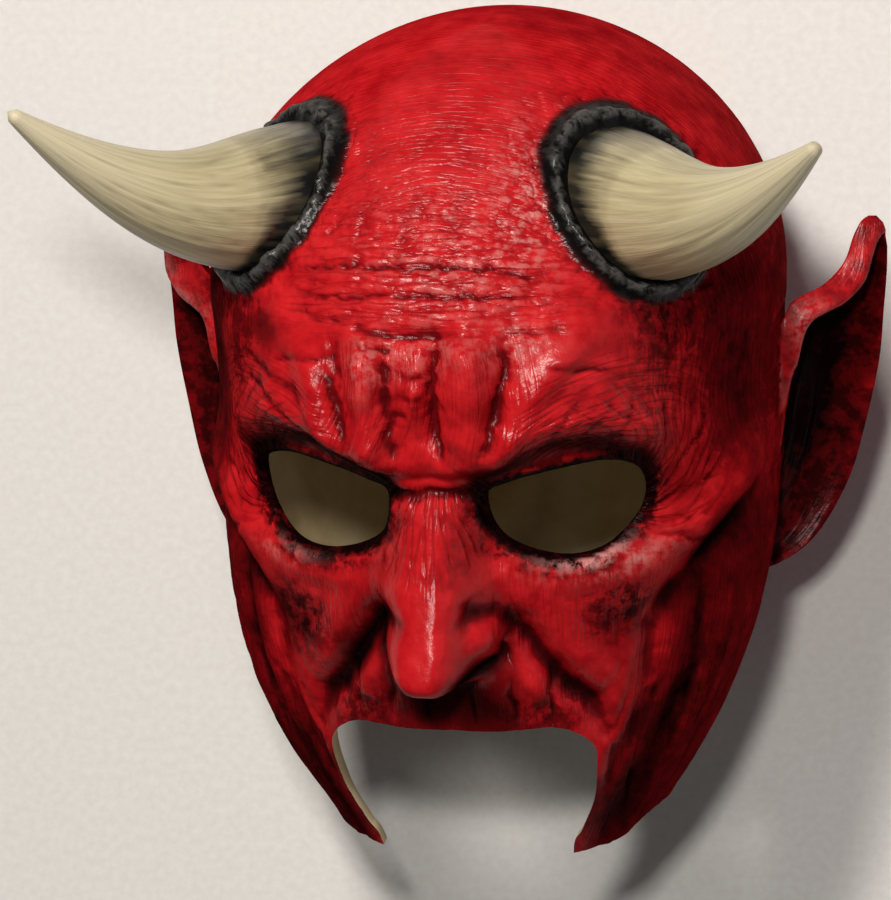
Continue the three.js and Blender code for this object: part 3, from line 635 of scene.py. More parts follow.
def wrinkle_flows(s, v, base):
    """For each family of fine lines: mm across the lines, mm along them, and how strong they are."""
    side, place = np.abs(s), once_round(s)
    sag = sagging(s, v)
    level = 0.8 * (1 - ramp(side, 36, 54)) * box_mask(v, 50, 80, 6)
    temple = box_mask(side, 58, 112, 8) * box_mask(v, 2, 62, 10)
    cheek = ramp(side, 50, 62) * (1 - ramp(v, -28, -16)) * (1 - ramp(side, 115, 130))
    middle = (1 - ramp(side, 22, 34)) * box_mask(v, 16, 48, 5)
    under_eye = box_mask(side, 13, 58, 6) * box_mask(v, -42, -17, 4)
    lip = (1 - ramp(side, 38, 50)) * (1 - ramp(v, -54, -46))
    down = np.maximum.reduce([0.8 * temple, 0.4 * cheek, 0.4 * middle, 0.4 * under_eye, 0.3 * lip])
    wavy = place + 2.2 * np.sin(v / 8) * ramp(v, -20, 10) + 0.12 * s * (1 - ramp(v, -10, 0))
    arc_reach, arc_turn = round_place(side, v, EYE_ARCS_MIDDLE, EYE_ARCS_STRETCH)
    arcs = 0.6 * box_mask(arc_reach, 22, 52, 5) * ramp(v, 10, 18) * ramp(side, 18, 28) * (1 - ramp(v, 40, 50))
    fan_reach, fan_turn = round_place(side, v, (50, -5))
    fan_turn = fan_turn - FAN_BEND * fan_reach
    fan = box_mask(fan_reach, 6, 38, 6) * (1 - ramp(np.abs(fan_turn - 0.3), 0.9, 1.4))
    nose_reach, nose_turn = round_place(-v, s, (-24, 0))
    nose = box_mask(nose_reach, 14, 40, 6) * (1 - ramp(side, 15, 22)) * (1 - ramp(v, 4, 12))
    away = base - SKULL_MIDDLE
    comb_reach = 88 * np.arccos(np.clip(unit(away)[..., 2], -1, 1))
    comb_turn = 75 * np.arctan2(away[..., 0], away[..., 1])
    comb = np.maximum(ramp(v, 62, 84), ramp(side, 92, 116) * ramp(v, -60, -30)) * (1 - 0.7 * temple)
    return {
        "lines_level": np.stack([sag, place, level], -1),
        "lines_down": np.stack([wavy, v, down], -1),
        "lines_arcs": np.stack([arc_reach, 34 * arc_turn * np.sign(s), arcs], -1),
        "lines_fan": np.stack([fan_turn * 14 * np.sign(s), fan_reach, fan], -1),
        "lines_nose": np.stack([nose_turn * 26, nose_reach, nose], -1),
        "lines_comb": np.stack([comb_reach, comb_turn, comb], -1),
    }


def bezier(values, t):
    a, b, c, d = values
    r = 1 - t
    return r**3 * a + 3 * r * r * t * b + 3 * r * t * t * c + t**3 * d


def horn_line(side, t):
    t = np.asarray(t, float)
    u, v, w = [bezier([p[k] for p in HORN_LINE], t) for k in range(3)]
    return np.stack([side * u + HORN_BASE_SHIFT * (1 - t) ** 3, v + HORN_TIP_LIFT[side] * t * t, w], -1)


def horn_axes(side, t):
    """The way that a horn's line runs at shares t of it, and two directions across it."""
    ahead = unit(horn_line(side, t + 0.01) - horn_line(side, t - 0.01))
    level = unit(np.cross([0, 1, 0], ahead))
    return ahead, level, np.cross(ahead, level)


def horn_distance(points, side):
    """The distance of points from a horn's surface, and the turn at which they lie round it."""
    t = np.linspace(0, 0.8, 50)
    best = np.full(points.shape[:-1], np.inf)
    turn = np.zeros_like(best)
    rings = zip(horn_line(side, t), bezier(HORN_RADII, t), *horn_axes(side, t))
    for at, radius, ahead, level, upright in rings:
        away = points - at
        across = away - (away @ ahead)[..., None] * ahead
        d = np.linalg.norm(away, axis=-1) - radius
        nearer = d < best
        best = np.where(nearer, d, best)
        turn = np.where(nearer, np.arctan2(across @ upright, across @ level), turn)
    return best, turn


def through(points, t):
    """A smooth curve through points, at shares t of the way along it."""
    points = np.array(points, float)
    count = len(points) - 1
    t = np.asarray(t, float)
    i = np.clip(np.floor(t * count).astype(int), 0, count - 1)
    f = (t * count - i)[..., None]
    p1, p2 = points[i], points[i + 1]
    p0 = np.where((i > 0)[..., None], points[np.maximum(i - 1, 0)], 2 * p1 - p2)
    p3 = np.where((i < count - 1)[..., None], points[np.minimum(i + 2, count)], 2 * p2 - p1)
    m1, m2 = (p2 - p0) / 2, (p3 - p1) / 2
    return (
        p1 * (2 * f**3 - 3 * f**2 + 1)
        + m1 * (f**3 - 2 * f**2 + f)
        + p2 * (3 * f**2 - 2 * f**3)
        + m2 * (f**3 - f**2)
    )


def round_outline(points, count):
    """A smooth closed outline through points."""
    ring = np.array([points[-1]] + points + points[:2], float)
    pieces = len(points)
    t = (1 + np.arange(count) * pieces / count) / (len(ring) - 1)
    return through(ring, t)


def rest_matrix():
    turn = Matrix.Rotation(REST_TILT, 4, "X")
    return Matrix.Translation(Vector(EYES_PLACE) * METRES) @ turn @ Matrix.Scale(METRES, 4)


def to_rest(points):
    m = np.array(rest_matrix())
    return points @ m[:3, :3].T + m[:3, 3]


def select_only(piece):
    if bpy.context.object and bpy.context.object.mode != "OBJECT":
        bpy.ops.object.mode_set(mode="OBJECT")
    bpy.ops.object.select_all(action="DESELECT")
    piece.select_set(True)
    bpy.context.view_layer.objects.active = piece


def read(items, key, wide=1, kind=np.float32):
    """One property of every item, as an array."""
    values = np.empty(len(items) * wide, kind)
    items.foreach_get(key, values)
    return values.reshape(-1, wide) if wide > 1 else values


def face_outwards(piece):
    select_only(piece)
    bpy.ops.object.mode_set(mode="EDIT")
    bpy.ops.mesh.select_all(action="SELECT")
    bpy.ops.mesh.normals_make_consistent(inside=False)
    bpy.ops.object.mode_set(mode="OBJECT")


def added(name, add, **settings):
    """The object that one of Blender's add operators makes."""
    bpy.ops.object.select_all(action="DESELECT")
    add(**settings)
    piece = bpy.context.object
    piece.name = name
    return piece


def coordinates(mesh):
    return read(mesh.vertices, "co", 3).astype(float)


def move_vertices(piece, places):
    piece.data.vertices.foreach_set("co", places.astype(np.float32).ravel())
    piece.data.update()


def sculpted_ball(name, rows, top, bottom, values=None):
    """A ball with a ring of vertices for each row of places, moved to those places."""
    count, columns = rows.shape[:2]
    sphere = bpy.ops.mesh.primitive_uv_sphere_add
    piece = added(name, sphere, segments=columns, ring_count=count + 1, radius=1)
    ball = coordinates(piece.data)
    ring = np.rint(np.arccos(np.clip(ball[:, 2], -1, 1)) / math.pi * (count + 1)).astype(int)
    turn = np.rint(np.arctan2(ball[:, 1], ball[:, 0]) / (2 * math.pi) * columns).astype(int) % columns
    inside = np.clip(ring - 1, 0, count - 1)
    places = rows[inside, turn]
    places[ring == 0] = top
    places[ring == count + 1] = bottom
    move_vertices(piece, to_rest(places))
    for key, grid in (values or {}).items():
        set_attribute(piece, key, grid[inside, turn])
    # What has no paint of its own takes that of the skin beside it
    set_attribute(piece, OWN, np.full(len(ring), 1.0 if values else 0.0))
    return piece


def fill_attribute(piece, name, values):
    key = "vector" if values.ndim == 2 else "value"
    piece.data.attributes[name].data.foreach_set(key, values.astype(np.float32).ravel())


def set_attribute(piece, name, values):
    piece.data.attributes.new(name, "FLOAT_VECTOR" if values.ndim == 2 else "FLOAT", "POINT")
    fill_attribute(piece, name, values)


def get_attribute(piece, name):
    layer = piece.data.attributes[name]
    return read(layer.data, "vector", 3) if layer.data_type == "FLOAT_VECTOR" else read(layer.data, "value")


def apply_boolean(piece, other, operation):
    cut = piece.modifiers.new("cut", "BOOLEAN")
    cut.operation = operation
    cut.object = other
    cut.solver = "MANIFOLD"
    select_only(piece)
    bpy.ops.object.modifier_apply(modifier=cut.name)
    bpy.data.objects.remove(other, do_unlink=True)
    if not piece.data.polygons:
        raise RuntimeError(f"{operation} left nothing of {piece.name}")


def prism(name, outline, shift):
    """A cutter: an outline of places in the head frame, extruded along a shift."""
    circle = bpy.ops.mesh.primitive_circle_add
    piece = added(name, circle, vertices=len(outline), radius=1, fill_type="NGON")
    move_vertices(piece, np.array(outline, float))
    bpy.ops.object.mode_set(mode="EDIT")
    bpy.ops.mesh.select_all(action="SELECT")
    bpy.ops.mesh.extrude_region_move(TRANSFORM_OT_translate={"value": shift})
    bpy.ops.mesh.select_all(action="SELECT")
    bpy.ops.mesh.quads_convert_to_tris()
    bpy.ops.mesh.normals_make_consistent(inside=False)
    bpy.ops.object.mode_set(mode="OBJECT")
    piece.data.transform(rest_matrix())
    return piece


def eye_cutters():
    outline = round_outline(EYE_HOLE, 96)
    low, high = EYE_CUT
    cutters = []
    for side in SIDES.values():
        places = [[side * u, v, low] for u, v in outline]
        cutters.append(prism("eye_cutter", places, (0, 0, high - low)))
    return cutters


def mouth_cutter():
    half = through(MOUTH_EDGE, np.linspace(0, 1, 70))
    whole = np.concatenate([half, half[:0:-1] * [-1, 1]])
    low, high = MOUTH_CUT
    return prism("mouth_cutter", [[u, v, low] for u, v in whole], (0, 0, high - low))


def rim_cutter():
    curve = through(RIM, np.linspace(0, 1, 60))
    lowest = RIM[0][1] - RIM_CUT_DEPTH
    places = [[-RIM_CUT_HALF_WIDTH, v, w] for w, v in curve]
    places += [[-RIM_CUT_HALF_WIDTH, lowest, curve[-1][0]], [-RIM_CUT_HALF_WIDTH, lowest, curve[0][0]]]
    return prism("rim_cutter", places, (2 * RIM_CUT_HALF_WIDTH, 0, 0))


def floor_cutter(level):
    """A block of all that lies below a level, in metres."""
    size = 0.6
    cube = bpy.ops.mesh.primitive_cube_add
    piece = added("floor_cutter", cube, size=size, location=(0, 0, level - size / 2))
    bpy.ops.object.transform_apply(location=True, rotation=True, scale=True)
    return piece


def outline_distance(u, v, outline):
    """The distance from a closed outline, less than 0 inside it."""
    ring = np.concatenate([outline, outline[:1]])
    best = np.full(np.shape(u), np.inf)
    inside = np.zeros(np.shape(u), bool)
    for (au, av), (bu, bv) in zip(ring[:-1], ring[1:]):
        best = np.minimum(best, stretch_distance(u, v, (au, av), (bu, bv))[0])
        if av != bv:
            crosses = (av > v) != (bv > v)
            inside ^= crosses & (u < au + (v - av) * (bu - au) / (bv - av))
    return np.where(inside, -best, best)


def column_arcs(face_step, back_step):
    """Places round the head: close together over the nose and face, wide apart behind."""
    arcs = [0.0]
    while arcs[-1] < HALF_TURN:
        x = arcs[-1]
        growth = 1 + 0.55 * ramp(x, 26, 60) + 0.5 * ramp(x, 88, 100)
        growth += (back_step / face_step - 2) * ramp(x, 96, 150)
        arcs.append(x + face_step * growth)
    half = np.array(arcs) * HALF_TURN / arcs[-1]
    return np.concatenate([-half[:0:-1], half[:-1]])


def row_levels(step):
    """Levels from the crown to the bottom, spaced evenly along the midline of the forehead and face."""
    v = np.concatenate([
        CROWN_TOP_V - (CROWN_TOP_V - 78) * np.linspace(0, 1, 600)[1:] ** 2,
        np.linspace(78, HEAD_BOTTOM_V, 1200)[1:],
    ])
    line = head_point(0 * v, v)
    lengths = np.linalg.norm(np.diff(line, axis=0), axis=1)
    middle = (v[1:] + v[:-1]) / 2
    wanted = step * (1 + 0.9 * ramp(middle, 84, 100) + 2.5 * (1 - ramp(middle, -125, -112)))
    run = np.concatenate([[0], np.cumsum(lengths / wanted)])
    count = int(run[-1])
    return np.interp(np.linspace(0.5, run[-1], count), run, v)


def blurred(grid, times):
    """A grid of values, each averaged with its neighbours, round the head and up and down."""
    for _ in range(times):
        grid = (np.roll(grid, 1, 1) + 2 * grid + np.roll(grid, -1, 1)) / 4
        padded = np.concatenate([grid[:1], grid, grid[-1:]])
        grid = (padded[:-2] + 2 * grid + padded[2:]) / 4
    return grid


def grid_normals(points):
    sideways = np.roll(points, -1, 1) - np.roll(points, 1, 1)
    padded = np.concatenate([points[:1], points, points[-1:]])
    upwards = padded[:-2] - padded[2:]
    return unit(np.cross(sideways, upwards))


def side_wash_and_shade(s, v):
    """Black wash and painted shade on the temples, cheeks and jaw, which leave the front of the face red."""
    below_crown = 1 - ramp(v, 44, 66)
    left_edge = 58 + 14 * ramp(v, -30, -8) - 10 * (1 - ramp(v, -76, -56))
    cheek = ramp(s, left_edge, left_edge + 24) * (1 - 0.4 * bell(v, -8, 9))
    other = ramp(-s, left_edge + 3, left_edge + 20)
    return (0.46 * cheek + 0.55 * other) * below_crown + 0.15 * ramp(s, 84, 120) * (1 - below_crown)


def raise_sockets(rise, base):
    """Raises ragged rings round the feet of the horns, and says where their black paint lies."""
    socket = np.zeros_like(rise)
    inside_horn = np.zeros_like(rise)
    for side in SIDES.values():
        d, turn = horn_distance(base, side)
        lumpy = 0.8 + 0.25 * noise(turn * 3.2, 0 * turn + side, 7) + 0.2 * noise(turn * 7, 0 * turn, 8)
        ring = SOCKET_RISE * lumpy * bell(d, SOCKET_AT, SOCKET_HALF)
        rough = 0.55 * wrinkles(turn * 5, d / 1.7, 17) * box_mask(d, 0, 9, 2)
        radiating = 0.4 * wrinkles(d / 6, turn * 7, 18) * box_mask(d, 5, 15, 3) * box_mask(d, -1, 14, 3)
        rise = rise * (1 - 0.8 * box_mask(d, -4, 5, 1.5)) + ring - rough - radiating
        inside_horn = np.maximum(inside_horn, 1 - ramp(d, -2.5, -0.3))
        socket = np.maximum(socket, 1 - ramp(d + 0.8 * noise(turn * 6, d / 3, 9), 3.8, 7.5))
    return rise * (1 - inside_horn) - 1.2 * inside_horn, socket


def skin_paint(s, v, base, rise, socket, eye):
    """The paint, painted shade and painted highlights that each place of the skin carries, by the names of
    PAINT.
    """
    side = np.abs(s)
    total = rise + large_rise(s, v) * 0.3 + fold_rise(s, v)
    narrow = blurred(total, 4) - total
    wide = blurred(total, 60) - total
    mottled = noise(s / 9, v / 9, 101) + 0.5 * noise(s / 4, v / 4, 102)
    # The spots, lines and sides of black wash and painted shade
    dark = lumps(side, v, DARK_BOTH) + lumps(s, v, DARK_SINGLE)
    dark = (dark + ridges(side, v, DARK_LINES) + side_wash_and_shade(s, v)) * (0.95 + 0.15 * mottled)
    # Darker along the creases and in the valleys of the skin: black wash and painted shade
    lined = sum(near_path(s, v, form[0], 0.9) for form in CREASES)
    valleys = np.clip(0.75 * narrow, 0, 0.3) + 0.2 * np.clip(wide - 0.3, 0, 2) + 0.25 * np.clip(lined, 0, 1)
    eye_rim = 1 - ramp(eye, *EYE_RIM)
    # Black round the eye holes, more on the upper rim, where it is painted shadow under the brow as well as
    # paint
    wash = np.minimum(valleys, MOST_VALLEY_WASH_AND_SHADE) + dark + (0.9 * ramp(v, -12, 4) + 0.8) * eye_rim
    wash = np.maximum(wash, 1.3 * socket)
    behind = ramp(-base[..., 2], 70, 110)
    wash = np.where(socket > 0.3, wash, wash * (1 - 0.4 * behind) + 0.1 * behind)
    # Pale dry paint on the ridges, which also stands for painted highlights
    dry = lumps(s, v, DRY_PAINT_AND_HIGHLIGHTS) * ramp(-narrow, -0.12, 0.06)
    sponged = lumps(s, v, SPONGED) + 0.35 * side_wash_and_shade(s, v) + 0.9 * (1 - ramp(eye, 1, 7))
    glaze = (1 - 0.95 * ramp(side + 14 * (s < 0), 46, 74)) * (1 - 0.7 * ramp(v, 84, 104)) + socket
    flows = wrinkle_flows(s, v, base)
    return {
        "wash": np.clip(wash, 0, 1.3),
        "dry": np.clip(dry, 0, 1) * (1 - socket),
        "socket": np.clip(socket, 0, 1),
        # Grey on the ridges of the black rings: dust and a painted sheen
        "socket_dust": np.clip(socket * ramp(-narrow, 0.05, 0.35) * 0.6, 0, 1),
        "sponged": np.clip(sponged, 0, 1),
        "glaze": np.clip(glaze, 0, 1),
        **{name: flow * (1 - socket[..., None] * [0, 0, 1]) for name, flow in flows.items()},
    }


def head_grids():
    """The outer skin: places by row and column, the paint of each, and the places of both poles."""
    s, v = np.meshgrid(column_arcs(FACE_STEP, BACK_STEP), row_levels(ROW_STEP))
    base = formed_point(s, v)
    rise = fine_rise(s, v)
    for form in CREASES + GROOVES:
        rise += crease(s, v, *form)
    for form in CREASES_BOTH:
        rise += crease(np.abs(s), v, *form)
    rise, socket = raise_sockets(rise, base)
    hole = round_outline(EYE_HOLE, 48)
    eye = np.minimum.reduce([outline_distance(side * base[..., 0], v, hole) for side in SIDES.values()])
    eye = np.where(base[..., 2] > -60, eye, FAR_AWAY)
    rise = rise * (1 - 0.7 * (1 - ramp(eye, *EYE_RIM))) + bell(eye, EYE_BEAD_AT, EYE_BEAD_HALF)
    rise = rise - 0.9 * (1 - ramp(eye, -0.5, 1.4))
    places = base + grid_normals(base) * rise[..., None]
    bottom = np.array([0, HEAD_BOTTOM_V, station(CENTRES, HEAD_BOTTOM_V)])
    return places, skin_paint(s, v, base, rise, socket, eye), head_point(0, CROWN_TOP_V), bottom


def inner_solid(depth, face_step, level_count):
    """The space inside the mask, as a solid that lies a depth below the skin."""
    arcs = column_arcs(face_step, 12)
    levels = np.concatenate([
        CROWN_TOP_V - (CROWN_TOP_V - 78) * (np.arange(1, 9) / 9) ** 2,
        np.linspace(78, HEAD_BOTTOM_V, level_count),
    ])
    s, v = np.meshgrid(arcs, levels)
    rows = drawn_in(s, v, depth)
    top = head_point(0, CROWN_TOP_V) - [0, depth, 0]
    bottom = np.array([0, HEAD_BOTTOM_V - 5, float(station(CENTRES, HEAD_BOTTOM_V))])
    return sculpted_ball("inner_form", rows, top, bottom)


def ear_rail(points, side, share):
    """Places along an edge of an ear, at shares of the way from its lobe to its tip."""
    return through([[side * (u + EAR_LEAN[side] * v), v, w] for u, v, w in points], share)


def ear_fullness(t):
    """0 at both ends of the ear and 1 in its middle."""
    return np.sin(math.pi * np.clip(t, 0, 1)) ** 0.5


def ear_lift(side, t, b, facing, reach, width):
    """How far the surface of an ear stands out from between its edges."""
    full = ear_fullness(t)
    cup_width = np.maximum(4, width - EAR_ROLL_SHIFT[side] - EAR_ROLL_END)
    behind = np.clip((reach - EAR_ROLL_END) / cup_width, 0, 1)
    cup = EAR_CUP * full * np.minimum(1, width / 20) * np.sin(math.pi * behind)
    ridge = (0.3 + 0.7 * np.sqrt(np.maximum(0, facing))) * bell(reach, EAR_ROLL_AT, EAR_ROLL_HALF)
    ridge = ridge * EAR_ROLL_RISE * full * ramp(t, 0.25, 0.45)
    edge = 0.9 * full * bell(b, 0.97, 0.06)
    fine = 0.3 * noise(9 * t, 7 * b, 111 + side) * np.sin(math.pi * b)
    folds = 2.6 * bell(b, 0.6, 0.07) * box_mask(t, 0.12, 0.42, 0.08)
    return ridge + edge - cup + EAR_SHEET * full * facing + (folds - fine) * np.maximum(0, facing)


def ear_paint(side, t, b, facing, reach):
    """The paint of an ear: wash and painted shade in its hollow, dry paint and painted highlight on its front
    roll.
    """
    facing = (facing > 0) + 0 * reach
    after_roll = ramp(reach, 7, 10)
    hollow = facing * after_roll * (1 - ramp(b, 0.6, 0.85)) * ear_fullness(t)
    deep = 0.9 * ramp(t, 0.2, 0.38) * (1 - ramp(t, 0.5, 0.68)) + 0.25
    behind_roll = facing * after_roll * (0.62 - 0.2 * ramp(b, 0.9, 0.97))
    # Darker in the hollow, behind the roll, on the back and on one ear: black wash and painted shade
    wash = hollow * deep + behind_roll + 0.3 * (1 - facing) + 0.1 * (side < 0)
    # Pale at the root of one ear's roll and along the other's: dry paint and painted highlights
    at_root = 0.9 * bell(t, 0.5, 0.06) * bell(reach, 4, 3)
    on_roll = 0.6 * box_mask(t, 0.5, 0.85, 0.1) * bell(reach, EAR_ROLL_AT, 1.6)
    none = 0 * wash
    return {
        "wash": np.clip(wash, 0, 1.2),
        "dry": np.clip(facing * (at_root if side > 0 else on_roll), 0, 1),
        "socket": none,
        "socket_dust": none,
        "sponged": 0.4 * facing,
        "glaze": facing * np.clip(1 - 0.85 * after_roll + 0.6 * (1 - ramp(t, 0.4, 0.5)), 0, 1),
        **{name: np.stack([none, none, none], -1) for name in FLOWS},
        "lines_down": np.stack([40 * b + none, 100 * t + none, none + 0.15], -1),
    }


def ear_grids(side, lengthwise=84, around=72):
    """One ear, as rings from its tip to its lobe: their places, their paint, and both ends."""
    t = 1 - np.arange(1, lengthwise)[:, None] / lengthwise
    turn = side * 2 * math.pi * np.arange(around)[None] / around
    # b runs from the front edge of the ear to its back edge, and facing is over 0 on its hollow side
    b, facing = (1 - np.cos(turn)) / 2, np.sin(side * turn)
    front, back = ear_rail(EAR_FRONT, side, t), ear_rail(EAR_BACK, side, t)
    middle = (front + back) / 2
    roundness = np.sqrt(1 - ramp(t, EAR_TIP_FROM, 1.02) ** 2)[..., None]
    front, back = middle + (front - middle) * roundness, middle + (back - middle) * roundness
    across = back - front
    after, before = [ear_rail(EAR_BACK, side, np.clip(t + step, 0, 1)) for step in (0.02, -0.02)]
    out = unit(np.cross(across, after - before)) * side
    width = np.linalg.norm(across, axis=-1)
    reach = width * b - EAR_ROLL_SHIFT[side]
    lift = ear_lift(side, t, b, facing, reach, width)
    rows = front + across * b[..., None] + out * lift[..., None]
    tip = (ear_rail(EAR_FRONT, side, 1) + ear_rail(EAR_BACK, side, 1)) / 2
    return rows, ear_paint(side, t, b, facing, reach), tip, ear_rail(EAR_FRONT, side, 0)


def use_finishes(piece, finishes, slot=0):
    """Gives a piece its finishes, all its faces in one of them."""
    piece.data.materials.clear()
    for finish in finishes:
        piece.data.materials.append(finish)
    piece.data.polygons.foreach_set("material_index", [slot] * len(piece.data.polygons))


def new_vertices(piece):
    """Which vertices were not modelled, but came of a cut."""
    return get_attribute(piece, OWN) < 0.5


def soften_joint(piece, rings=4, repeat=8):
    """Smooths and paints the skin where an ear grows out of the head, and marks its vertices as modelled."""
    fresh = new_vertices(piece)
    repaint(piece, fresh)
    select_only(piece)
    bpy.ops.object.mode_set(mode="EDIT")
    bpy.ops.mesh.select_mode(type="VERT")
    bpy.ops.mesh.select_all(action="DESELECT")
    bpy.ops.object.mode_set(mode="OBJECT")
    piece.data.vertices.foreach_set("select", fresh)
    bpy.ops.object.mode_set(mode="EDIT")
    for _ in range(rings):
        bpy.ops.mesh.select_more()
    bpy.ops.mesh.vertices_smooth(factor=0.5, repeat=repeat)
    bpy.ops.object.mode_set(mode="OBJECT")
    fill_attribute(piece, OWN, np.ones(len(fresh)))


def repaint(piece, fresh):
    """Gives each new vertex the paint of the nearest modelled one."""
    places = coordinates(piece.data)
    known = np.nonzero(~fresh)[0]
    tree = kdtree.KDTree(len(known))
    for i in known:
        tree.insert(places[i], i)
    tree.balance()
    wanted = np.nonzero(fresh)[0]
    nearest = np.array([tree.find(places[i])[1] for i in wanted], int)
    for name in PAINT:
        values = get_attribute(piece, name)
        values[wanted] = values[nearest]
        fill_attribute(piece, name, values)


def sharpen_cut_edges(piece):
    """Shades the piece smooth, but for the edges between the painted side and the cuts."""
    mesh = piece.data
    finish = read(mesh.polygons, "material_index", kind=np.int32)
    corner_finish = np.repeat(finish, read(mesh.polygons, "loop_total", kind=np.int32))
    corner_edge = read(mesh.loops, "edge_index", kind=np.int32)
    edges = len(mesh.edges)
    low, high = np.full(edges, 9, np.int32), np.full(edges, -1, np.int32)
    np.minimum.at(low, corner_edge, corner_finish)
    np.maximum.at(high, corner_edge, corner_finish)
    sharp = mesh.attributes.get("sharp_edge") or mesh.attributes.new("sharp_edge", "BOOLEAN", "EDGE")
    sharp.data.foreach_set("value", low != high)
    mesh.polygons.foreach_set("use_smooth", np.ones(len(finish), bool))
    mesh.update()


def horn_grids(side, lengthwise=150, around=96):
    """One horn, as rings from its tip to its root: their places, what its paint follows, and both ends."""
    t = 1 - np.arange(1, lengthwise + 1)[:, None] / lengthwise
    turn = 2 * math.pi * np.arange(around)[None] / around
    x, y = np.cos(turn + 0.25 * t), np.sin(turn + 0.25 * t)
    rough = noise(6 * x + 3 * t, 6 * y + 5, 121 + side)
    grooves = wrinkles(3.2 * x + 40, 3.2 * y + 1.1 * t, 131 + side, 0.25)
    radius = bezier(HORN_RADII, t) * (1 + 0.012 * rough) - 0.32 * grooves * ramp(1 - t, 0.02, 0.3)
    _, level, upright = horn_axes(side, t)
    rows = horn_line(side, t) + level * (radius * np.cos(turn))[..., None]
    rows = rows + upright * (radius * np.sin(turn))[..., None]
    values = {
        "from_skin": np.clip(head_distance(rows) + 60 * ramp(t, 0.3, 0.62), -5, 60),
        "grooves": grooves,
        "grain": np.stack([HORN_LENGTH * t + 0 * x, 17 * x, 17 * y], -1),
    }
    return rows, values, horn_line(side, 1.005), horn_line(side, 0)


def linear(hex_colour):
    """An sRGB hex colour as the linear RGBA that shaders take."""
    parts = [int(hex_colour[i : i + 2], 16) / 255 for i in (1, 3, 5)]
    return tuple(c / 12.92 if c <= 0.04045 else ((c + 0.055) / 1.055) ** 2.4 for c in parts) + (1.0,)


def add_node(material, kind, inputs=None, steps=None, **settings):
    """Adds a node with its settings. An input takes a value, or is linked to another node's output."""
    tree = material.node_tree
    node = tree.nodes.new("ShaderNode" + kind)
    for key, value in settings.items():
        setattr(node, key, value)
    for key, value in (inputs or {}).items():
        if isinstance(value, bpy.types.Node):
            value = next(output for output in value.outputs if output.enabled)
        if isinstance(value, bpy.types.NodeSocket):
            tree.links.new(value, node.inputs[key])
        else:
            node.inputs[key].default_value = value
    if steps:
        stops = node.color_ramp.elements
        while len(stops) < len(steps):
            stops.new(0.5)
        for stop, (place, colour) in zip(stops, steps):
            stop.position = place
            stop.color = colour
    return node


def new_material(name):
    material = bpy.data.materials.new(name)
    material.use_nodes = True
    material.node_tree.nodes.clear()
    return material


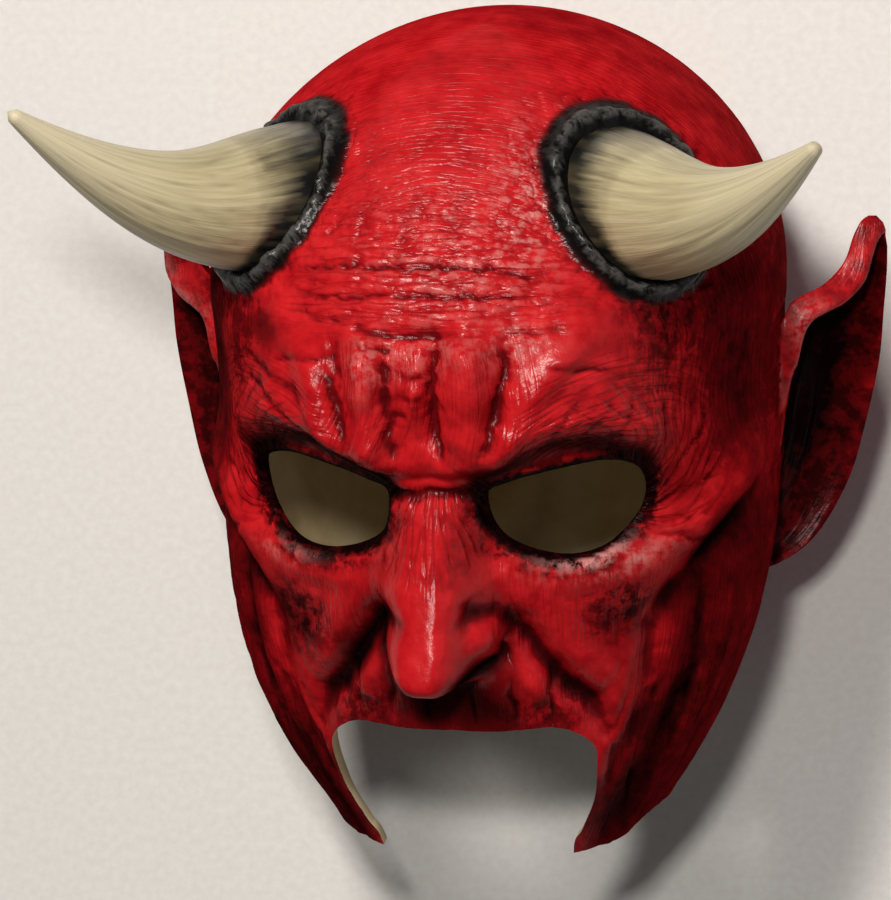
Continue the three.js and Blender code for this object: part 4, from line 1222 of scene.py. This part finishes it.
def painted_latex(settings):
    """Cast natural latex, brushed with red rubber paint and a black wash that also carries painted shade,
    then glazed wet.
    """
    m = new_material("GlazedPaintedLatex")
    place = add_node(m, "TexCoord").outputs["Object"]
    wash, dry, socket, dust_and_sheen, sponged, glazed = [
        add_node(m, "Attribute", attribute_name=name).outputs["Fac"] for name in PAINT[:6]
    ]
    # Fine lines 1.6 to 2.4 mm apart and 13 to 17 mm long, each family along its own way
    lines = 0.0
    for name, (across, along, depth) in FLOWS.items():
        flow = add_node(m, "Attribute", attribute_name=name).outputs["Vector"]
        strength = add_node(m, "SeparateXYZ", {"Vector": flow}).outputs["Z"]
        cells = add_node(m, "Mapping", {"Vector": flow, "Scale": (across, along, 0)})
        drift = add_node(m, "TexNoise", {"Vector": cells, "Scale": 1.3, "Detail": 2.0}).outputs["Color"]
        bent = add_node(m, "VectorMath", {0: drift, 1: (0.9, 0.9, 0), 2: cells}, operation="MULTIPLY_ADD")
        edges = {"voronoi_dimensions": "2D", "feature": "DISTANCE_TO_EDGE"}
        cracks = add_node(m, "TexVoronoi", {"Vector": bent, "Scale": 1.0}, **edges).outputs["Distance"]
        near_edges = {"Value": cracks, "From Min": 0.24, "From Max": 0.0, "To Max": depth}
        valley = add_node(m, "MapRange", near_edges)
        lines = add_node(m, "Math", {0: valley, 1: strength, 2: lines}, operation="MULTIPLY_ADD")
    # Blotches of the paint are about 9 mm across, dabs of the sponge 4 mm, flecks 3 mm and pores about 1 mm
    sponge = add_node(m, "TexNoise", {"Vector": place, "Scale": 230, "Detail": 4.0, "Roughness": 0.65})
    blotches = add_node(m, "TexNoise", {"Vector": place, "Scale": 110, "Detail": 5.0, "Roughness": 0.6})
    flecks = add_node(m, "TexNoise", {"Vector": place, "Scale": 330, "Detail": 3.0, "Roughness": 0.7})
    pores = add_node(m, "TexNoise", {"Vector": place, "Scale": 900, "Detail": 3.0})
    reds = [(0.3, settings.skin_deep), (0.72, settings.skin_bright)]
    colour = add_node(m, "ValToRGB", {"Fac": blotches}, reds)
    unevenness = add_node(m, "Math", {0: 0.5, 1: blotches}, operation="SUBTRACT")
    uneven = add_node(m, "Math", {0: unevenness, 1: 0.5, 2: wash}, operation="MULTIPLY_ADD")
    lined = add_node(m, "Math", {0: lines, 1: 0.1, 2: uneven}, operation="MULTIPLY_ADD")
    dabbed = add_node(m, "MapRange", {"Value": sponge, "From Min": 0.43, "From Max": 0.58, "To Max": 0.85})
    shade = add_node(m, "Math", {0: sponged, 1: dabbed, 2: lined}, operation="MULTIPLY_ADD")
    # Darker reds down to near black where the shade is high: black wash and painted shade
    for low, high, tint in ((0.05, 0.5, "#7C0A11"), (0.35, 0.85, "#420709"), (0.8, 1.25, "#0E0304")):
        share = add_node(m, "MapRange", {"Value": shade, "From Min": low, "From Max": high})
        colour = add_node(m, "Mix", {0: share, 6: colour, 7: linear(tint)}, data_type="RGBA")
    # The fine lines are darker: wash in them and painted shade
    line_share = add_node(m, "Math", {0: lines, 1: 0.3}, operation="MULTIPLY")
    on_top = add_node(m, "Math", {0: lines, 1: -0.25, 2: flecks}, operation="MULTIPLY_ADD")
    dabs = add_node(m, "MapRange", {"Value": on_top, "From Min": 0.36, "From Max": 0.56})
    dry_paint_and_highlight_share = add_node(m, "Math", {0: dry, 1: dabs}, operation="MULTIPLY")
    dust_and_sheen_share = add_node(m, "Math", {0: dust_and_sheen, 1: dabs}, operation="MULTIPLY")
    # Pale pink is dry paint and a painted highlight, and grey on the sockets is dust and a painted sheen
    touches = [(line_share, "#4A060B"), (dry_paint_and_highlight_share, "#C4807C"), (socket, "#0B0A0A"), (dust_and_sheen_share, "#5C5A57")]
    for share, tint in touches:
        colour = add_node(m, "Mix", {0: share, 6: colour, 7: linear(tint)}, data_type="RGBA")
    # The wash is matt, but the glaze on the black sockets is thick and wet
    unglazed = add_node(m, "Math", {0: socket, 1: -1.2, 2: shade}, operation="MULTIPLY_ADD")
    matt = add_node(m, "MapRange", {"Value": unglazed, "From Min": 0.3, "From Max": 1.0, "To Max": 0.34})
    blotched = {"Value": blotches, "From Min": 0.3, "From Max": 0.7, "To Min": 0.2, "To Max": 0.32}
    glaze = add_node(m, "MapRange", blotched)
    gloss = add_node(m, "Math", {0: glaze, 1: matt}, operation="ADD")
    grit = add_node(m, "Math", {0: pores, 1: 0.22}, operation="MULTIPLY")
    height = add_node(m, "Math", {0: lines, 1: -1.0, 2: grit}, operation="MULTIPLY_ADD")
    bump = add_node(m, "Bump", {"Height": height, "Strength": 0.8, "Distance": 0.0005})
    wetness = {"Value": unglazed, "From Min": 0.2, "From Max": 0.9, "To Min": 0.34, "To Max": 0.1}
    wet = add_node(m, "MapRange", wetness)
    coat = add_node(m, "Math", {0: glazed, 1: wet}, operation="MULTIPLY")
    surface = {"Base Color": colour, "Roughness": gloss, "Normal": bump, "IOR": 1.5}
    # The highlights come from the glaze alone
    surface["Specular IOR Level"] = 0.0
    surface.update({"Coat Weight": coat, "Coat Roughness": 0.25, "Coat Normal": bump})
    shader = add_node(m, "BsdfPrincipled", surface)
    add_node(m, "OutputMaterial", {"Surface": shader})
    return m


def raw_latex():
    """Bare natural latex of the inside, as it left the mould: cream, matt and a little blotched."""
    m = new_material("RawMouldedLatex")
    place = add_node(m, "TexCoord").outputs["Object"]
    blotches = add_node(m, "TexNoise", {"Vector": place, "Scale": 60, "Detail": 4.0})
    grit = add_node(m, "TexNoise", {"Vector": place, "Scale": 1500, "Detail": 2.0})
    creams = [(0.3, linear("#B79F74")), (0.5, linear("#CDB88E")), (0.7, linear("#DCCBA6"))]
    colour = add_node(m, "ValToRGB", {"Fac": blotches}, creams)
    bump = add_node(m, "Bump", {"Height": grit, "Strength": 0.25, "Distance": 0.0003})
    surface = {"Base Color": colour, "Normal": bump, "Roughness": 0.62, "IOR": 1.5}
    surface.update({"Subsurface Weight": 0.08, "Subsurface Scale": 0.003})
    shader = add_node(m, "BsdfPrincipled", surface)
    add_node(m, "OutputMaterial", {"Surface": shader})
    return m


def painted_horn(settings):
    """Cast latex painted as horn: bone cream in streaks along it, smoked black at its foot, satin glaze."""
    m = new_material("PaintedHornLatex")
    grain = add_node(m, "Attribute", attribute_name="grain").outputs["Vector"]
    grooves = add_node(m, "Attribute", attribute_name="grooves").outputs["Fac"]
    from_skin = add_node(m, "Attribute", attribute_name="from_skin").outputs["Fac"]
    # Streaks are about 0.8 mm wide and 20 mm long
    streaked = add_node(m, "Mapping", {"Vector": grain, "Scale": (0.05, 0.8, 0.8)})
    streaks = add_node(m, "TexNoise", {"Vector": streaked, "Scale": 1.0, "Detail": 4.0, "Roughness": 0.6})
    haired = add_node(m, "Mapping", {"Vector": grain, "Scale": (0.09, 2.4, 2.4)})
    hairs = add_node(m, "TexNoise", {"Vector": haired, "Scale": 1.0, "Detail": 2.0})
    blotched = add_node(m, "Mapping", {"Vector": grain, "Scale": (0.04, 0.06, 0.06)})
    blotches = add_node(m, "TexNoise", {"Vector": blotched, "Scale": 1.0, "Detail": 3.0})
    bones = [(0.3, settings.horn_deep), (0.66, settings.horn_pale)]
    colour = add_node(m, "ValToRGB", {"Fac": streaks}, bones)
    # The smoke is black over the first 3 mm above the skin and gone at about 14 mm
    ragged = add_node(m, "Math", {0: blotches, 1: 12.0, 2: from_skin}, operation="MULTIPLY_ADD")
    smoke = add_node(m, "Math", {0: streaks, 1: 7.0, 2: ragged}, operation="MULTIPLY_ADD")
    along = add_node(m, "SeparateXYZ", {"Vector": grain}).outputs["X"]
    towards_tip = {"Value": along, "From Min": 55, "From Max": HORN_LENGTH, "To Max": 0.7}
    tip_share = add_node(m, "MapRange", towards_tip)
    colour = add_node(m, "Mix", {0: tip_share, 6: colour, 7: linear("#D9CFB2")}, data_type="RGBA")
    for clear, full, most, tint in ((25.5, 14.5, 0.7, "#6A6148"), (19.0, 13.0, 1.0, "#100F0D")):
        share = add_node(m, "MapRange", {"Value": smoke, "From Min": clear, "From Max": full, "To Max": most})
        colour = add_node(m, "Mix", {0: share, 6: colour, 7: linear(tint)}, data_type="RGBA")
    groove_share = add_node(m, "Math", {0: grooves, 1: 0.4}, operation="MULTIPLY")
    colour = add_node(m, "Mix", {0: groove_share, 6: colour, 7: linear("#6E6248")}, data_type="RGBA")
    bump = add_node(m, "Bump", {"Height": hairs, "Strength": 0.3, "Distance": 0.0004})
    surface = {"Base Color": colour, "Normal": bump, "Roughness": 0.42, "IOR": 1.5}
    surface.update({"Coat Weight": 0.12, "Coat Roughness": 0.25})
    shader = add_node(m, "BsdfPrincipled", surface)
    add_node(m, "OutputMaterial", {"Surface": shader})
    return m


def paper_floor():
    """Seamless background paper: pale, matt and without a pattern that shows."""
    m = new_material("BackgroundPaper")
    place = add_node(m, "TexCoord").outputs["Object"]
    fibres = add_node(m, "TexNoise", {"Vector": place, "Scale": 400, "Detail": 2.0})
    colour = add_node(m, "ValToRGB", {"Fac": fibres}, [(0.3, linear("#E4E2DF")), (0.7, linear("#EBEAE7"))])
    shader = add_node(m, "BsdfPrincipled", {"Base Color": colour, "Roughness": 0.9})
    add_node(m, "OutputMaterial", {"Surface": shader})
    return m


def paint_property(name, description, tint):
    return bpy.props.FloatVectorProperty(
        name=name, description=description, subtype="COLOR", size=4, min=0, max=1, default=linear(tint)
    )


def light_property(name, watts):
    return bpy.props.FloatProperty(name=name, description="Power in watts", default=watts, unit="POWER")


class MaskProperties(bpy.types.PropertyGroup):
    wall: bpy.props.FloatProperty(
        name="Wall", description="Thickness of the latex in metres", default=0.0032, unit="LENGTH"
    )
    skin_deep: paint_property("Skin, deep", "Red of the skin where it is deepest", "#A50D15")
    skin_bright: paint_property("Skin, bright", "Red of the skin where it is brightest", "#CB2126")
    horn_deep: paint_property("Horn, deep", "Darker bone of the horns", "#A29673")
    horn_pale: paint_property("Horn, pale", "Paler bone of the horns", "#BEB38E")
    key_light: light_property("Key light", 9.5)
    front_light: light_property("Front light", 6.0)
    fill_light: light_property("Fill light", 0.5)


class MASK_OT_shell(bpy.types.Operator):
    """Models and paints the latex casting of face, skull, ears and horn sockets"""

    bl_idname = "demon_mask.shell"
    bl_label = "Latex casting"

    def execute(self, context):
        settings = context.scene.demon_mask
        finishes = [painted_latex(settings), raw_latex()]
        places, values, top, bottom = head_grids()
        shell = sculpted_ball("latex_casting", places, top, bottom, values)
        use_finishes(shell, finishes)
        for side in SIDES.values():
            rows, ear_values, tip, lobe = ear_grids(side)
            ear = sculpted_ball("ear_form", rows, tip, lobe, ear_values)
            face_outwards(ear)
            use_finishes(ear, finishes)
            apply_boolean(shell, ear, "UNION")
            soften_joint(shell)
        inner = inner_solid(settings.wall / METRES, face_step=2.6, level_count=70)
        apply_boolean(inner, floor_cutter(settings.wall), "DIFFERENCE")
        for cutter in (inner, mouth_cutter(), rim_cutter(), floor_cutter(0)):
            use_finishes(cutter, finishes, 1)
            apply_boolean(shell, cutter, "DIFFERENCE")
        for cutter in eye_cutters():
            use_finishes(cutter, finishes, 0)
            apply_boolean(shell, cutter, "DIFFERENCE")
        repaint(shell, new_vertices(shell))
        sharpen_cut_edges(shell)
        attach(shell, "root")
        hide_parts("mask_shell")
        print("casting", sum(len(face.vertices) - 2 for face in shell.data.polygons), "triangles")
        return {"FINISHED"}


class MASK_OT_horns(bpy.types.Operator):
    """Models and paints the two horns"""

    bl_idname = "demon_mask.horns"
    bl_label = "Horns"

    def execute(self, context):
        finish = painted_horn(context.scene.demon_mask)
        for name, side in SIDES.items():
            rows, values, tip, root = horn_grids(side)
            horn = sculpted_ball("horn_casting_" + name, rows, tip, root, values)
            face_outwards(horn)
            # The root ends within the latex, below its outer skin
            apply_boolean(horn, inner_solid(HORN_ROOT_DEPTH, face_step=4, level_count=50), "DIFFERENCE")
            use_finishes(horn, [finish])
            horn.data.polygons.foreach_set("use_smooth", [True] * len(horn.data.polygons))
            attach(horn, "root")
            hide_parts("horn_" + name)
        return {"FINISHED"}


def camera_axes():
    """The camera's right, up and back, in the head frame, before it is aimed."""
    back = np.array([
        math.sin(CAMERA_YAW) * math.cos(CAMERA_RISE),
        math.sin(CAMERA_RISE),
        math.cos(CAMERA_YAW) * math.cos(CAMERA_RISE),
    ])
    right = np.array([math.cos(CAMERA_YAW), 0, -math.sin(CAMERA_YAW)])
    up = np.cross(back, right)
    rolled_right = math.cos(CAMERA_ROLL) * right + math.sin(CAMERA_ROLL) * up
    rolled_up = -math.sin(CAMERA_ROLL) * right + math.cos(CAMERA_ROLL) * up
    return rolled_right, rolled_up, back


def seen_from_camera(right_mm, up_mm, back_mm):
    """A place given by its distances from the eyes along the camera's axes, in the frame of the table."""
    right, up, back = camera_axes()
    return Vector(to_rest((right * right_mm + up * up_mm + back * back_mm)[None])[0])


def softbox(name, place, target, size, power, colour):
    light = added(name, bpy.ops.object.light_add, type="AREA", location=place)
    light.data.shape = "RECTANGLE"
    light.data.size = light.data.size_y = size
    light.data.energy = power
    light.data.color = linear(colour)[:3]
    light.rotation_euler = (target - light.location).to_track_quat("-Z", "Y").to_euler()


class MASK_OT_stage(bpy.types.Operator):
    """Adds the floor, the lights and the camera"""

    bl_idname = "demon_mask.stage"
    bl_label = "Stage"

    def execute(self, context):
        settings = context.scene.demon_mask
        grid = bpy.ops.mesh.primitive_grid_add
        floor = added("background_paper", grid, x_subdivisions=24, y_subdivisions=24, size=FLOOR_SIZE)
        floor.data.materials.append(paper_floor())
        target = seen_from_camera(0, 0, -60)
        for name, (place, size, colour) in SOFTBOXES.items():
            power = getattr(settings, name + "_light")
            softbox(name + "_softbox", seen_from_camera(*place), target, size, power, colour)
        world = bpy.data.worlds.new("studio_air")
        context.scene.world = world
        world.use_nodes = True
        background = world.node_tree.nodes["Background"]
        background.inputs["Color"].default_value = linear("#F2F1EF")
        background.inputs["Strength"].default_value = AIR_STRENGTH
        self.add_camera(context)
        context.scene.view_settings.view_transform = "Standard"
        return {"FINISHED"}

    def add_camera(self, context):
        right, up, back = camera_axes()
        off_right, off_up = EYES_FROM_MIDDLE
        ahead = -back - (off_right * right + off_up * up) / CAMERA_FOCUS_PIXELS
        turn = np.array(Matrix.Rotation(REST_TILT, 3, "X"))
        z = Vector(turn @ -ahead).normalized()
        y = Vector(turn @ up)
        x = y.cross(z).normalized()
        y = z.cross(x)
        place = seen_from_camera(0, 0, CAMERA_DISTANCE)
        camera = added("photo_camera", bpy.ops.object.camera_add, location=place)
        camera.matrix_world = Matrix.Translation(place) @ Matrix((x, y, z)).transposed().to_4x4()
        camera.data.sensor_width = SENSOR_WIDTH
        camera.data.lens = CAMERA_FOCUS_PIXELS * SENSOR_WIDTH / PHOTO_LONG_SIDE
        camera.data.clip_end = 20
        context.scene.camera = camera


class MASK_PT_panel(bpy.types.Panel):
    bl_idname = "MASK_PT_panel"
    bl_label = "Demon Mask"
    bl_space_type = "VIEW_3D"
    bl_region_type = "UI"
    bl_category = "Demon Mask"

    def draw(self, context):
        settings = context.scene.demon_mask
        for name in MaskProperties.__annotations__:
            self.layout.prop(settings, name)
        for operator in STEPS:
            self.layout.operator(operator.bl_idname)


STEPS = (MASK_OT_shell, MASK_OT_horns, MASK_OT_stage)
CLASSES = (MaskProperties, *STEPS, MASK_PT_panel)


def register():
    for cls in CLASSES:
        bpy.utils.register_class(cls)
    bpy.types.Scene.demon_mask = bpy.props.PointerProperty(type=MaskProperties)


def unregister():
    del bpy.types.Scene.demon_mask
    for cls in reversed(CLASSES):
        bpy.utils.unregister_class(cls)


def main():
    register()
    bpy.ops.object.select_all(action="DESELECT")
    bpy.ops.demon_mask.shell()
    bpy.ops.demon_mask.horns()
    bpy.ops.demon_mask.stage()


if __name__ == "__main__":
    main()
